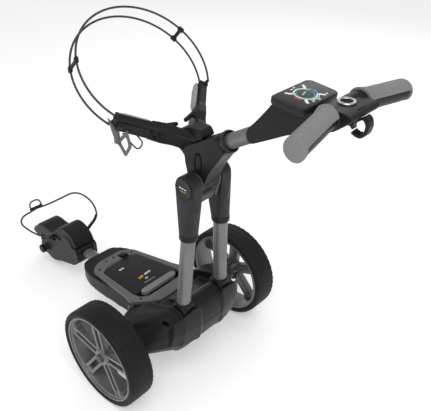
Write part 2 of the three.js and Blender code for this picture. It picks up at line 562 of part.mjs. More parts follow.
function buildStrap() {
  const count = 26;
  for (const [name, shift] of [['front', -STRAND.offset], ['rear', STRAND.offset]]) {
    const points = [];
    for (let i = 0; i <= count; i += 1) points.push(hoopPoint(STRAND.end * ((2 * i) / count - 1), shift));
    add(trolley, `strap_${name}_cord`, tube(points, STRAND.radius, CORD.sides, STRAND.steps), braid);
  }
  const normal = new THREE.Vector3(-Math.sin(HOOP.tilt), 0, Math.cos(HOOP.tilt));
  for (const [name, side] of [['left', 1], ['right', -1]]) {
    const angle = THREE.MathUtils.degToRad(side * 67);
    const centre = hoopPoint(angle, 0);
    const out = vector(hoopPoint(angle, 0)).sub(vector([HOOP.x, 0, HOOP.z])).normalize();
    const along = new THREE.Vector3().crossVectors(normal, out);
    const spacer = wrap(cornersOf(centre, [along, out, normal], [5, 4, STRAND.offset - STRAND.radius - GAP]));
    add(trolley, `strap_spacer_${name}`, spacer, blackPlastic);
  }
  const plate = wrap(
    ring([10, 147, 752], [14, 0, 14], [0, 3, 0]), ring([2, 147, 728], [7, 0, 0], [0, 3, 0]),
  );
  const diamond = cut(
    slab('Y', softOutline([[-36, 754], [2, 716], [-24, 686], [-47, 718]], 5), 142.5, 145.5),
    slab('Y', softOutline([[-33, 741], [-9, 716], [-25, 698], [-38, 718]], 4), 130, 160),
  );
  add(trolley, 'strap_hook', join(plate, diamond, block(-8, 6, 142.5, 149, 712, 742)), greyPlastic);
}

// ---------------------------------------------------------------- handle

function buildHandle() {
  const stemSide = [
    [-263, 767], [-263, 786], [-291, 817], [-315, 847], [-333, 871], [-346, 877.3], [-414, 869.9], [-428, 868],
    [-428, 836], [-363, 806], [-317, 780], [-275, 757],
  ];
  const bore = rod(shaftPoint(40), shaftPoint(160 + GAP), SHAFT.radius + GAP, 28);
  add(trolley, 'handle_stem', cut(slab('Y', softOutline(stemSide, 8), -25, 25), bore), blackPlastic);

  const centreSide = [
    [-428.4, 842], [-428.4, 880], [-446, 896], [-488, 896], [-504, 892], [-508, 884], [-474, 856], [-446, 846],
  ];
  const middle = slab('Y', softOutline(centreSide, 7), -47, 47);
  const core = (side) => rod(sided([GRIP.inner[0], 30, GRIP.inner[2] + 1.3], side), sided(coreEnd(), side), GRIP.core, 20);
  const dialRoom = new THREE.Shape().absarc(DIAL.x, 0, DIAL.outer + SLIDE, 0, 2 * Math.PI);
  const bar = cut(join(middle, core(1), core(-1)), slab('Z', dialRoom, DIAL.z - 4, 2 * FAR + DIAL.z, 8));
  add(trolley, 'handle_bar', bar, blackPlastic);
  for (const [name, side] of [['left', 1], ['right', -1]]) {
    const shell = rod(sided(GRIP.inner, side), sided(GRIP.end, side), GRIP.radius, 24);
    const flare = rod(sided(GRIP.inner, side), sided(between(GRIP.inner, GRIP.end, 0.16), side), 25, 24, GRIP.radius);
    const room = rod(sided([GRIP.inner[0], 30, GRIP.inner[2] + 1.3], side), sided(coreEnd(1), side), GRIP.core + GAP, 20);
    const inboard = side > 0 ? block(-FAR * 2, 0, -FAR, 47 + GAP, 800, 960) : block(-FAR * 2, 0, -47 - GAP, FAR, 800, 960);
    add(trolley, `${name}_grip`, cut(join(shell, flare), room, inboard), lightGrey);
  }
  buildDial();
  buildDisplay();
  const hookSide = softOutline([
    [-479, 859.4], [-484, 848], [-493, 842], [-506, 840.5], [-517, 850], [-521, 866], [-518, 879], [-510, 884.8],
    [-508.4, 883.5],
  ], 4);
  const hookHole = softOutline([[-489, 864], [-488, 853], [-495, 848], [-505, 848], [-512, 857], [-513, 868], [-507, 877]], 3);
  add(trolley, 'accessory_hook', cut(slab('Y', hookSide, -9, 9), slab('Y', hookHole, -20, 20)), blackPlastic);
}

const between = (a, b, t) => a.map((value, i) => value + t * (b[i] - value));
/** The handle bar's end inside a grip, with a little extra for the grip's own bore. */
const coreEnd = (extra = 0) => between(GRIP.inner, GRIP.end, 0.955 + extra * 0.004);

function buildDial() {
  const dial = [[DIAL.inner, 0], [DIAL.outer, 0], [DIAL.outer, 4], [15.5, DIAL.height + 1], [DIAL.inner, DIAL.height]];
  const upright = new THREE.Matrix4().makeRotationX(Math.PI / 2);
  const stand = (profile) => {
    const lathe = new THREE.LatheGeometry(profile.map(([r, y]) => new THREE.Vector2(r, y)), 28);
    return solid(lathe.applyMatrix4(upright)).translate([DIAL.x, 0, DIAL.z - 4 + GAP]);
  };
  add(trolley, 'speed_dial', stand(closed(dial)), chrome);
  const press = DIAL.inner - 1.6;
  add(trolley, 'power_button', stand([[0, 2], [press, 2], [press, 5], [8, 6], [0, 6]]), darkPlastic);
}

function buildDisplay() {
  const board = new THREE.Group();
  board.position.set(DISPLAY.x, 0, DISPLAY.z);
  board.rotation.y = -THREE.MathUtils.degToRad(DISPLAY.tilt);
  const plan = (inset) => softOutline([[-1, -1], [1, -1], [1, 1], [-1, 1]].map(([a, b]) => [
    a * (DISPLAY.length / 2 - inset), b * (DISPLAY.width / 2 - inset),
  ]), DISPLAY.corner - inset);
  const glassDepth = 1.5;
  const recess = slab('Z', plan(4), -glassDepth - GAP, 5, 5);
  const shell = cut(slab('Z', plan(0), -DISPLAY.thickness, 0, 5), recess);
  add(board, 'display_case', shell, darkPlastic);
  add(board, 'display_glass', slab('Z', plan(4 + GAP), -glassDepth, -GAP / 2, 5), glassBlack);
  trolley.add(board);
}

// ---------------------------------------------------------------- the whole trolley

buildHousing();
buildDrive();
buildRearWheel('left', 1);
buildRearWheel('right', -1);
buildBattery();
buildLatch();
buildFront();
buildLowerStrap();
buildStruts();
buildHingeBlock();
buildBagSupport();
buildStrap();
buildHandle();
trolley.position.x = -CENTRE_X;

export default trolley;
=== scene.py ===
"""Electric golf trolley: the visual model, its finishes, the floor, the lights and the camera."""

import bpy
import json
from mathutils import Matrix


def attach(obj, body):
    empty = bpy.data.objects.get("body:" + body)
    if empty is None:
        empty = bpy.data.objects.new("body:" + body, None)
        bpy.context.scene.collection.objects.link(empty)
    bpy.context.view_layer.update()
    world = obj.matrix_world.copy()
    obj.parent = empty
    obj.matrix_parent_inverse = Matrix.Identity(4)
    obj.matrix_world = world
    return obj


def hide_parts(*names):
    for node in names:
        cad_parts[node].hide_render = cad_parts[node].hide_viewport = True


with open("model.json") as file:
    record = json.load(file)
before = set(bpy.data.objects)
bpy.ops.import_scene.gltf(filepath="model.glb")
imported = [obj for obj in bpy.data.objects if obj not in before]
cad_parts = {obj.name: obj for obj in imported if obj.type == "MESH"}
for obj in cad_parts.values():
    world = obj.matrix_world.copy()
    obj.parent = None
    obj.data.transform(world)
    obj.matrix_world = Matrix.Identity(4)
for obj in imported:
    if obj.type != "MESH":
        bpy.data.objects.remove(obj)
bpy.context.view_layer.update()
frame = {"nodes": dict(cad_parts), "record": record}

import json
import logging
import math
from collections.abc import Iterable
from dataclasses import dataclass, field
from enum import Enum

import bmesh
import bpy
from mathutils import Matrix, Vector

log = logging.getLogger("trolley")
MM = 0.001
Point = tuple[float, float, float]
Flat = tuple[float, float]


def joint_place(name: str) -> Point:
    """Where a joint of the record stands.

    Args:
        name: The joint's name in the record.

    Returns:
        Its position in the row frame, in metres.
    """
    for joint in frame["record"]["behaviour"]["joints"]:
        if joint["name"] == name:
            return tuple(joint["pos_m"])
    raise ValueError(f"no joint named {name}")


AXLE = Vector(joint_place("axle_spin"))
TO_ROW = Matrix.Translation((AXLE.x, 0, 0)) @ Matrix.Scale(MM, 4)


def metres(x: float, y: float, z: float) -> Vector:
    """A place given in millimetres from the drive axle and the ground, in the row frame."""
    return TO_ROW @ Vector((x, y, z))


def grey(level: int) -> Point:
    """A neutral shade from its 0 to 255 screen level, as linear light."""
    value = (level / 255 / 1.055 + 0.052) ** 2.4
    return (value, value, value)


# ---------------------------------------------------------------- finishes


class Grain(Enum):
    """The fine surface of a finish."""

    SMOOTH = "smooth"
    MOULDED = "moulded"
    FOAM = "foam"
    BRUSHED = "brushed"
    BRAIDED = "braided"


@dataclass(frozen=True)
class Finish:
    """One material: its shade, gloss and fine surface."""

    name: str
    slot: str
    shade: Point
    roughness: float
    metallic: float = 0.0
    grain: Grain = Grain.MOULDED
    grain_mm: float = 0.9
    relief: float = 0.25
    mottle: float = 0.10
    specular: float = 0.22

    def make(self) -> bpy.types.Material:
        """The material, made on first use."""
        title = f"{self.name}_finish"
        found = bpy.data.materials.get(title)
        if found:
            return found
        material = bpy.data.materials.new(title)
        material.use_nodes = True
        tree = material.node_tree
        shader = tree.nodes["Principled BSDF"]
        shader.inputs["Metallic"].default_value = self.metallic
        shader.inputs["Specular IOR Level"].default_value = self.specular
        place = tree.nodes.new("ShaderNodeTexCoord").outputs["Object"]
        self._shade(tree, shader, place)
        if self.grain is Grain.BRAIDED:
            self._braid(tree, shader)
        elif self.grain is not Grain.SMOOTH:
            self._grain(tree, shader, place)
        return material

    def _noise(self, tree: bpy.types.NodeTree, place: bpy.types.NodeSocket, scale: float, detail: float,
               stretch: Point = (1, 1, 1)) -> bpy.types.NodeSocket:
        """A noise over the surface.

        Args:
            tree: The material's node tree.
            place: The coordinates that it follows.
            scale: Its features per metre.
            detail: How many finer layers it has.
            stretch: How it is scaled along X, Y and Z.

        Returns:
            Its factor output.
        """
        mapping = tree.nodes.new("ShaderNodeMapping")
        mapping.inputs["Scale"].default_value = stretch
        noise = tree.nodes.new("ShaderNodeTexNoise")
        noise.inputs["Scale"].default_value = scale
        noise.inputs["Detail"].default_value = detail
        tree.links.new(place, mapping.inputs["Vector"])
        tree.links.new(mapping.outputs["Vector"], noise.inputs["Vector"])
        return noise.outputs["Fac"]

    def _range(self, tree: bpy.types.NodeTree, value: bpy.types.NodeSocket, low: float,
               high: float) -> bpy.types.NodeSocket:
        """The middle of a noise spread over a range."""
        spread = tree.nodes.new("ShaderNodeMapRange")
        spread.inputs["From Min"].default_value = 0.3
        spread.inputs["From Max"].default_value = 0.7
        spread.inputs["To Min"].default_value = low
        spread.inputs["To Max"].default_value = high
        tree.links.new(value, spread.inputs["Value"])
        return spread.outputs["Result"]

    def _shade(self, tree: bpy.types.NodeTree, shader: bpy.types.Node, place: bpy.types.NodeSocket) -> None:
        """Colour and gloss, slightly uneven as on a used surface."""
        patch = self._noise(tree, place, 14, 4)
        mix = tree.nodes.new("ShaderNodeMix")
        mix.data_type = "RGBA"
        mix.inputs["A"].default_value = (*[c * (1 - self.mottle) for c in self.shade], 1)
        mix.inputs["B"].default_value = (*[min(1, c * (1 + self.mottle)) for c in self.shade], 1)
        tree.links.new(self._range(tree, patch, 0, 1), mix.inputs["Factor"])
        tree.links.new(mix.outputs["Result"], shader.inputs["Base Color"])
        smear = self._noise(tree, place, 55, 3)
        low = max(0.03, self.roughness - 0.05)
        tree.links.new(self._range(tree, smear, low, self.roughness + 0.05), shader.inputs["Roughness"])

    def _grain(self, tree: bpy.types.NodeTree, shader: bpy.types.Node, place: bpy.types.NodeSocket) -> None:
        """The fine relief: spark-eroded plastic, foam skin or brushed metal."""
        stretch = (1, 1, 14) if self.grain is Grain.BRUSHED else (1, 1, 1)
        detail = 5 if self.grain is Grain.FOAM else 2
        fine = self._noise(tree, place, 1 / (self.grain_mm * MM), detail, stretch)
        bump = tree.nodes.new("ShaderNodeBump")
        bump.inputs["Strength"].default_value = self.relief
        bump.inputs["Distance"].default_value = 0.25 * MM
        tree.links.new(fine, bump.inputs["Height"])
        tree.links.new(bump.outputs["Normal"], shader.inputs["Normal"])

    def _braid(self, tree: bpy.types.NodeTree, shader: bpy.types.Node) -> None:
        """Two crossing sets of threads, laid over the cord's own UV map."""
        uv = tree.nodes.new("ShaderNodeUVMap")
        uv.uv_map = "weave"
        waves = []
        for turn in (1, -1):
            mapping = tree.nodes.new("ShaderNodeMapping")
            mapping.inputs["Rotation"].default_value = (0, 0, turn * math.radians(45))
            wave = tree.nodes.new("ShaderNodeTexWave")
            wave.inputs["Scale"].default_value = 1.1
            wave.inputs["Distortion"].default_value = 0.4
            tree.links.new(uv.outputs["UV"], mapping.inputs["Vector"])
            tree.links.new(mapping.outputs["Vector"], wave.inputs["Vector"])
            waves.append(wave.outputs["Fac"])
        higher = tree.nodes.new("ShaderNodeMath")
        higher.operation = "MAXIMUM"
        for i, wave in enumerate(waves):
            tree.links.new(wave, higher.inputs[i])
        bump = tree.nodes.new("ShaderNodeBump")
        bump.inputs["Strength"].default_value = 0.8
        bump.inputs["Distance"].default_value = 0.4 * MM
        tree.links.new(higher.outputs["Value"], bump.inputs["Height"])
        tree.links.new(bump.outputs["Normal"], shader.inputs["Normal"])
        ramp = tree.nodes.new("ShaderNodeMix")
        ramp.data_type = "RGBA"
        ramp.inputs["A"].default_value = (*[c * 0.45 for c in self.shade], 1)
        ramp.inputs["B"].default_value = (*[c * 1.5 for c in self.shade], 1)
        tree.links.new(higher.outputs["Value"], ramp.inputs["Factor"])
        tree.links.new(ramp.outputs["Result"], shader.inputs["Base Color"])


BLACK = Finish("black_plastic", "black_plastic", grey(24), 0.42, grain_mm=1.0, relief=0.22)
BASE_BLACK = Finish("base_black", "black_plastic", grey(22), 0.6, grain_mm=1.2, relief=0.3)
# Near-black: the power button's own colour, and painted shade in the screw pockets, round the release button and in the
# handle slot.
BLACK_AND_PAINTED_SHADE = Finish("black_and_painted_shade", "black_plastic", grey(10), 0.7, specular=0.15)
DARK = Finish("dark_plastic", "dark_plastic", grey(40), 0.42, relief=0.15)
DISPLAY_GREY = Finish("display_shell", "dark_plastic", grey(38), 0.45, relief=0.15)
SURROUND = Finish("surround_grey", "grey_plastic", grey(98), 0.45, relief=0.15)
SILVER = Finish("light_grey_plastic", "light_grey_plastic", grey(124), 0.4, relief=0.1, mottle=0.06)
PAD = Finish("pad_rubber", "light_grey_plastic", grey(150), 0.7, grain=Grain.FOAM, grain_mm=2.0, relief=0.4)
GRIP_RUBBER = Finish("grip_rubber", "grip_rubber", grey(126), 0.68, grain=Grain.FOAM, grain_mm=1.6,
                     relief=0.35,
                     mottle=0.05)
TYRE = Finish("tyre_rubber", "tyre_rubber", grey(22), 0.62, grain=Grain.FOAM, grain_mm=2.2, relief=0.3)
WHEEL_GREY = Finish("wheel_paint", "wheel_grey", grey(120), 0.34, metallic=0.5, grain_mm=0.6, relief=0.06)
WHEEL_DARK = Finish("wheel_groove", "wheel_grey", grey(46), 0.5, grain_mm=0.6, relief=0.1)
CAP_OLIVE = Finish("hub_cap", "dark_plastic", (0.105, 0.1, 0.08), 0.4, relief=0.1)
TUBE = Finish("tube_paint", "tube_grey", grey(120), 0.32, metallic=0.5, grain_mm=0.5, relief=0.05,
              mottle=0.06)
STEEL = Finish("turned_steel", "steel", (0.5, 0.5, 0.51), 0.3, metallic=1.0, grain=Grain.BRUSHED,
               relief=0.1)
CASTING = Finish("motor_casting", "motor_case", (0.4, 0.405, 0.41), 0.42, metallic=0.9, grain_mm=1.5,
                 relief=0.3)
BOARD = Finish("board_green", "circuit_board", (0.02, 0.11, 0.045), 0.4, relief=0.1)
CHROME = Finish("bright_chrome", "chrome", (0.36, 0.36, 0.37), 0.3, metallic=1.0, grain=Grain.SMOOTH,
                mottle=0.03)
SCREEN = Finish("display_screen", "display_black", (0.012, 0.012, 0.013), 0.3, grain=Grain.SMOOTH,
                mottle=0.04,
                specular=0.12)
BRAID = Finish("braided_cord", "braided_cord", grey(62), 0.75, grain=Grain.BRAIDED)
SLEEVE_RUBBER = Finish("strap_sleeve", "braided_cord", grey(34), 0.6, relief=0.2)
WHITE_MARK = Finish("white_print", "display_black", (0.8, 0.8, 0.8), 0.5, grain=Grain.SMOOTH, mottle=0.02)
AMBER_MARK = Finish("amber_print", "display_black", (0.72, 0.38, 0.03), 0.5, grain=Grain.SMOOTH,
                    mottle=0.02)
GREEN_MARK = Finish("green_print", "display_black", (0.03, 0.36, 0.14), 0.5, grain=Grain.SMOOTH,
                    mottle=0.02)
RED_MARK = Finish("red_print", "display_black", (0.55, 0.03, 0.06), 0.5, grain=Grain.SMOOTH, mottle=0.02)
BLUE_MARK = Finish("blue_print", "display_black", (0.03, 0.08, 0.5), 0.5, grain=Grain.SMOOTH, mottle=0.02)


# ---------------------------------------------------------------- shaping


class Axis(Enum):
    """A direction of the trolley: forward, left or up."""

    X = Vector((1, 0, 0))
    Y = Vector((0, 1, 0))
    Z = Vector((0, 0, 1))

    def lift(self, a: float, b: float, height: float) -> Vector:
        """A flat place (y,z), (x,z) or (x,y) at a height along this axis."""
        if self is Axis.X:
            return Vector((height, a, b))
        if self is Axis.Y:
            return Vector((a, height, b))
        return Vector((a, b, height))


def unique(items: Iterable) -> list:
    """The items without repeats, in the order in which they come."""
    return list(dict.fromkeys(items))


class Mould:
    """A mesh being shaped, in millimetres from the drive axle and the ground."""

    def __init__(self) -> None:
        """Starts with no faces."""
        self.bm = bmesh.new()

    @classmethod
    def of_node(cls, name: str) -> "Mould":
        """A merged copy of a CAD node."""
        made = cls()
        made.bm.from_mesh(frame["nodes"][name].data)
        bmesh.ops.transform(made.bm, matrix=TO_ROW.inverted(), verts=made.bm.verts)
        bmesh.ops.remove_doubles(made.bm, verts=made.bm.verts, dist=0.003)
        bmesh.ops.dissolve_degenerate(made.bm, dist=0.002, edges=made.bm.edges)
        return made

    def _new(self, before: set) -> list:
        """The vertices added since a remembered set."""
        return [v for v in self.bm.verts if v not in before]

    def rod(self, start: Point, end: Point, radius: float, far: float | None = None, segments: int = 48,
            edge: float = 0.0) -> list:
        """A round bar or cone.

        Args:
            start: Centre of its first end.
            end: Centre of its far end.
            radius: Radius at the first end.
            far: Radius at the far end, the same as the first if left out.
            segments: Sides round it.
            edge: Width of the bevel on its two rims.

        Returns:
            Its vertices.
        """
        before = set(self.bm.verts)
        a, b = Vector(start), Vector(end)
        place = Matrix.Translation((a + b) / 2) @ (b - a).to_track_quat("Z", "Y").to_matrix().to_4x4()
        bmesh.ops.create_cone(self.bm, cap_ends=True, cap_tris=False, segments=segments, radius1=radius,
                              radius2=radius if far is None else far, depth=(b - a).length, matrix=place)
        new = self._new(before)
        if edge:
            caps = [f for f in unique(f for v in new for f in v.link_faces) if len(f.verts) > 4]
            self._bevel([e for f in caps for e in f.edges], edge, 3)
        return self._new(before)

    def _bevel(self, edges: list, width: float, segments: int) -> None:
        """Rounds edges."""
        if edges:
            bmesh.ops.bevel(self.bm, geom=unique(edges), offset=width, offset_type="OFFSET",
                            segments=segments,
                            profile=0.5, affect="EDGES", clamp_overlap=True, material=-1)

    def prism(self, outline: list[Flat], axis: Axis, low: float, high: float, corner: float = 0.0,
              edge: float = 0.0) -> list:
        """An outline pushed along an axis.

        Args:
            outline: Its corners, as (y,z), (x,z) or (x,y).
            axis: The axis that it is pushed along.
            low: Where it starts.
            high: Where it ends.
            corner: Radius of the corners between its sides.
            edge: Width of the bevel round its two flat faces.

        Returns:
            Its vertices.
        """
        before = set(self.bm.verts)
        face = self.bm.faces.new([self.bm.verts.new(axis.lift(a, b, low)) for a, b in outline])
        moved = bmesh.ops.extrude_face_region(self.bm, geom=[face])["geom"]
        top = [g for g in moved if isinstance(g, bmesh.types.BMVert)]
        bmesh.ops.translate(self.bm, verts=top, vec=axis.value * (high - low))
        sides = unique(f for v in self._new(before) for f in v.link_faces)
        bmesh.ops.recalc_face_normals(self.bm, faces=sides)
        if corner:
            long = unique(e for f in sides for e in f.edges
                          if abs((e.verts[1].co - e.verts[0].co).dot(axis.value)) > 0.01)
            self._bevel(long, corner, 5)
        if edge:
            faces = unique(f for v in self._new(before) for f in v.link_faces)
            ends = [f for f in faces if abs(f.normal.dot(axis.value)) > 0.999]
            self._bevel([e for f in ends for e in f.edges], edge, 3)
        return self._new(before)

    def hull(self, *rings: list[Vector]) -> list:
        """The tight skin round some rings of places."""
        before = set(self.bm.verts)
        points = [self.bm.verts.new(place) for ring in rings for place in ring]
        made = bmesh.ops.convex_hull(self.bm, input=points)
        loose = [g for g in made["geom_interior"] + made["geom_unused"] if isinstance(g,
                                                                                      bmesh.types.BMVert)]
        bmesh.ops.delete(self.bm, geom=unique(loose), context="VERTS")
        return self._new(before)

    def lathe(self, profile: list[Flat], centre: Point, axis: Axis = Axis.Y, steps: int = 64) -> list:
        """A profile of (radius, height) turned about an axis.

        Args:
            profile: Places outward from the axis and along it; the last joins the first.
            centre: A place on the axis, at height 0.
            axis: The axis turned about.
            steps: Sides round it.

        Returns:
            Its vertices.
        """
        before = set(self.bm.verts)
        middle = Vector(centre)
        side = Axis.Z.value if axis is Axis.Y else Axis.X.value
        line = [self.bm.verts.new(middle + side * r + axis.value * h) for r, h in profile]
        edges = [self.bm.edges.new((a, b)) for a, b in zip(line, line[1:] + line[:1])]
        bmesh.ops.spin(self.bm, geom=line + edges, cent=middle, axis=axis.value, dvec=(0, 0, 0),
                       angle=2 * math.pi, steps=steps, use_merge=True, use_duplicate=False)
        bmesh.ops.remove_doubles(self.bm, verts=self._new(before), dist=0.001)
        return self._new(before)

    def box(self, centre: Point, size: Point, turn: Matrix | None = None, edge: float = 0.0) -> list:
        """A block about its centre, turned and with rounded edges."""
        before = set(self.bm.verts)
        place = Matrix.Translation(Vector(centre)) @ (turn.to_4x4() if turn else Matrix()) @ Matrix.Diagonal((*size, 1))
        bmesh.ops.create_cube(self.bm, size=1, matrix=place)
        if edge:
            self._bevel(unique(e for v in self._new(before) for e in v.link_edges), edge, 3)
        return self._new(before)

    def tube(self, path: list[Vector], radius: float, sides: int = 12,
             end_radius: float | None = None) -> list:
        """A round section swept along a path, with its own UV map for a weave.

        Args:
            path: The places that it follows.
            radius: The section's radius.
            sides: Sides round the section.
            end_radius: The radius at the path's far end, if it tapers.

        Returns:
            Its vertices.
        """
        before = set(self.bm.verts)
        uv = self.bm.loops.layers.uv.get("weave") or self.bm.loops.layers.uv.new("weave")
        stations, spot = [], {}
        heading = (path[1] - path[0]).normalized()
        turn = heading.to_track_quat("Z", "Y")
        run = 0.0
        for i, place in enumerate(path):
            ahead = (path[min(i + 1, len(path) - 1)] - path[max(i - 1, 0)]).normalized()
            turn = heading.rotation_difference(ahead) @ turn
            heading = ahead
            run += (place - path[i - 1]).length if i else 0.0
            share = i / (len(path) - 1)
            width = radius if end_radius is None else radius + (end_radius - radius) * share
            ring = bmesh.ops.create_circle(self.bm, cap_ends=i in (0, len(path) - 1), segments=sides,
                                           radius=width,
                                           matrix=Matrix.Translation(place) @ turn.to_matrix().to_4x4())["verts"]
            for k, vert in enumerate(ring):
                spot[vert] = (k / sides, run / (2 * math.pi * radius))
            stations.append(ring)
        for one, other in zip(stations, stations[1:]):
            for k in range(sides):
                face = self.bm.faces.new((one[k], one[(k + 1) % sides], other[(k + 1) % sides], other[k]))
                for loop in face.loops:
                    u, v = spot[loop.vert]
                    wrapped = 1.0 if k == sides - 1 and u == 0.0 else u
                    loop[uv].uv = (wrapped, v)
        return self._new(before)

    def move(self, verts: list, matrix: Matrix) -> None:
        """Moves some vertices by a matrix."""
        bmesh.ops.transform(self.bm, matrix=matrix, verts=verts)

    def round_edges(self, width: float, segments: int = 3, angle: float = 28.0) -> "Mould":
        """Joins flat neighbours and rounds every edge sharper than an angle."""
        bmesh.ops.dissolve_limit(self.bm, angle_limit=math.radians(1.5), verts=self.bm.verts,
                                 edges=self.bm.edges)
        sharp = [e for e in self.bm.edges if len(e.link_faces) == 2 and e.calc_face_angle(0) > math.radians(angle)]
        self._bevel(sharp, width, segments)
        return self

    def soften(self, voxel: float, passes: int, cutters: "Mould | None" = None) -> "Mould":
        """Blends the solids into one skin with soft edges.

        Args:
            voxel: Size of the skin's cells.
            passes: How many times it is smoothed.
            cutters: Solids to take away first.

        Returns:
            This mould.
        """
        shape = self._object("softening")
        if cutters is not None:
            tool = cutters._object("cutting")
            taking = shape.modifiers.new("take", "BOOLEAN")
            taking.operation = "DIFFERENCE"
            taking.solver = "EXACT"
            taking.use_self = True
            taking.object = tool
        skin = shape.modifiers.new("skin", "REMESH")
        skin.mode = "VOXEL"
        skin.voxel_size = voxel
        smooth = shape.modifiers.new("smooth", "SMOOTH")
        smooth.factor = 0.5
        smooth.iterations = passes
        bpy.context.view_layer.update()
        ready = bpy.data.meshes.new_from_object(shape.evaluated_get(bpy.context.evaluated_depsgraph_get()))
        self.bm.clear()
        self.bm.from_mesh(ready)
        bpy.data.meshes.remove(ready)
        for gone in [shape] + ([tool] if cutters is not None else []):
            mesh = gone.data
            bpy.data.objects.remove(gone)
            bpy.data.meshes.remove(mesh)
        return self

    def _object(self, name: str) -> bpy.types.Object:
        """The mould as a passing object, still in millimetres."""
        bmesh.ops.recalc_face_normals(self.bm, faces=self.bm.faces)
        mesh = bpy.data.meshes.new(name)
        self.bm.to_mesh(mesh)
        made = bpy.data.objects.new(name, mesh)
        bpy.context.scene.collection.objects.link(made)
        return made

    def piece(self, name: str, body: str, finish: Finish, replaces: tuple[str, ...] = (),
              crease: float = 32.0) -> bpy.types.Object:
        """Turns the mould into a finished piece that rides on a body.

        Args:
            name: The piece's name.
            body: The CAD body that carries it.
            finish: Its material.
            replaces: CAD nodes that it stands for.
            crease: Edges sharper than this many degrees stay crisp.

        Returns:
            The piece.
        """
        bmesh.ops.recalc_face_normals(self.bm, faces=self.bm.faces)
        bmesh.ops.transform(self.bm, matrix=TO_ROW, verts=self.bm.verts)
        mesh = bpy.data.meshes.new(name)
        self.bm.to_mesh(mesh)
        self.bm.free()
        mesh.shade_smooth()
        mesh.set_sharp_from_angle(angle=math.radians(crease))
        mesh.materials.append(finish.make())
        made = bpy.data.objects.new(name, mesh)
        bpy.context.scene.collection.objects.link(made)
        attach(made, body)
        if replaces:
            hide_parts(*replaces)
        log.info("%s: %d faces on %s", name, len(mesh.polygons), body)
        return made


def ring(centre: Point, radius_a: float, radius_b: float | None = None, axis: Axis = Axis.Y,
         count: int = 40) -> list:
    """The places of an oval about a centre.

    Args:
        centre: Its centre.
        radius_a: Half its width along its first direction.
        radius_b: Half its width along its second, the same if left out.
        axis: The axis that it faces.
        count: How many places.

    Returns:
        The places.
    """
    other = radius_a if radius_b is None else radius_b
    turns = [2 * math.pi * i / count for i in range(count)]
    return [Vector(centre) + axis.lift(radius_a * math.cos(t), other * math.sin(t), 0) for t in turns]


def mirrored(half: list[Flat]) -> list[Flat]:
    """A closed outline from its half with positive second numbers."""
    return half + [(a, -b) for a, b in reversed(half)]


def smooth_path(points: list[Point], steps: int) -> list[Vector]:
    """A smooth curve through places, in equal steps of its parameter.

    Args:
        points: The places that it passes.
        steps: Steps between one place and the next.

    Returns:
        The curve's places.
    """
    spots = [Vector(p) for p in points]
    spots = [spots[0] * 2 - spots[1]] + spots + [spots[-1] * 2 - spots[-2]]
    path = []
    for a, b, c, d in zip(spots, spots[1:], spots[2:], spots[3:]):
        for k in range(steps):
            t = k / steps
            path.append(0.5 * (2 * b + (c - a) * t + (2 * a - 5 * b + 4 * c - d) * t**2
                               + (3 * b - a - 3 * c + d) * t**3))
    return path + [spots[-2]]


def dress(mould_node: str, finish: Finish) -> None:
    """Dresses a CAD node whose own shape stays."""
    node = frame["nodes"][mould_node]
    node.data.materials.clear()
    node.data.materials.append(finish.make())
    node.data.shade_smooth()
    node.data.set_sharp_from_angle(angle=math.radians(25))


# ---------------------------------------------------------------- studio


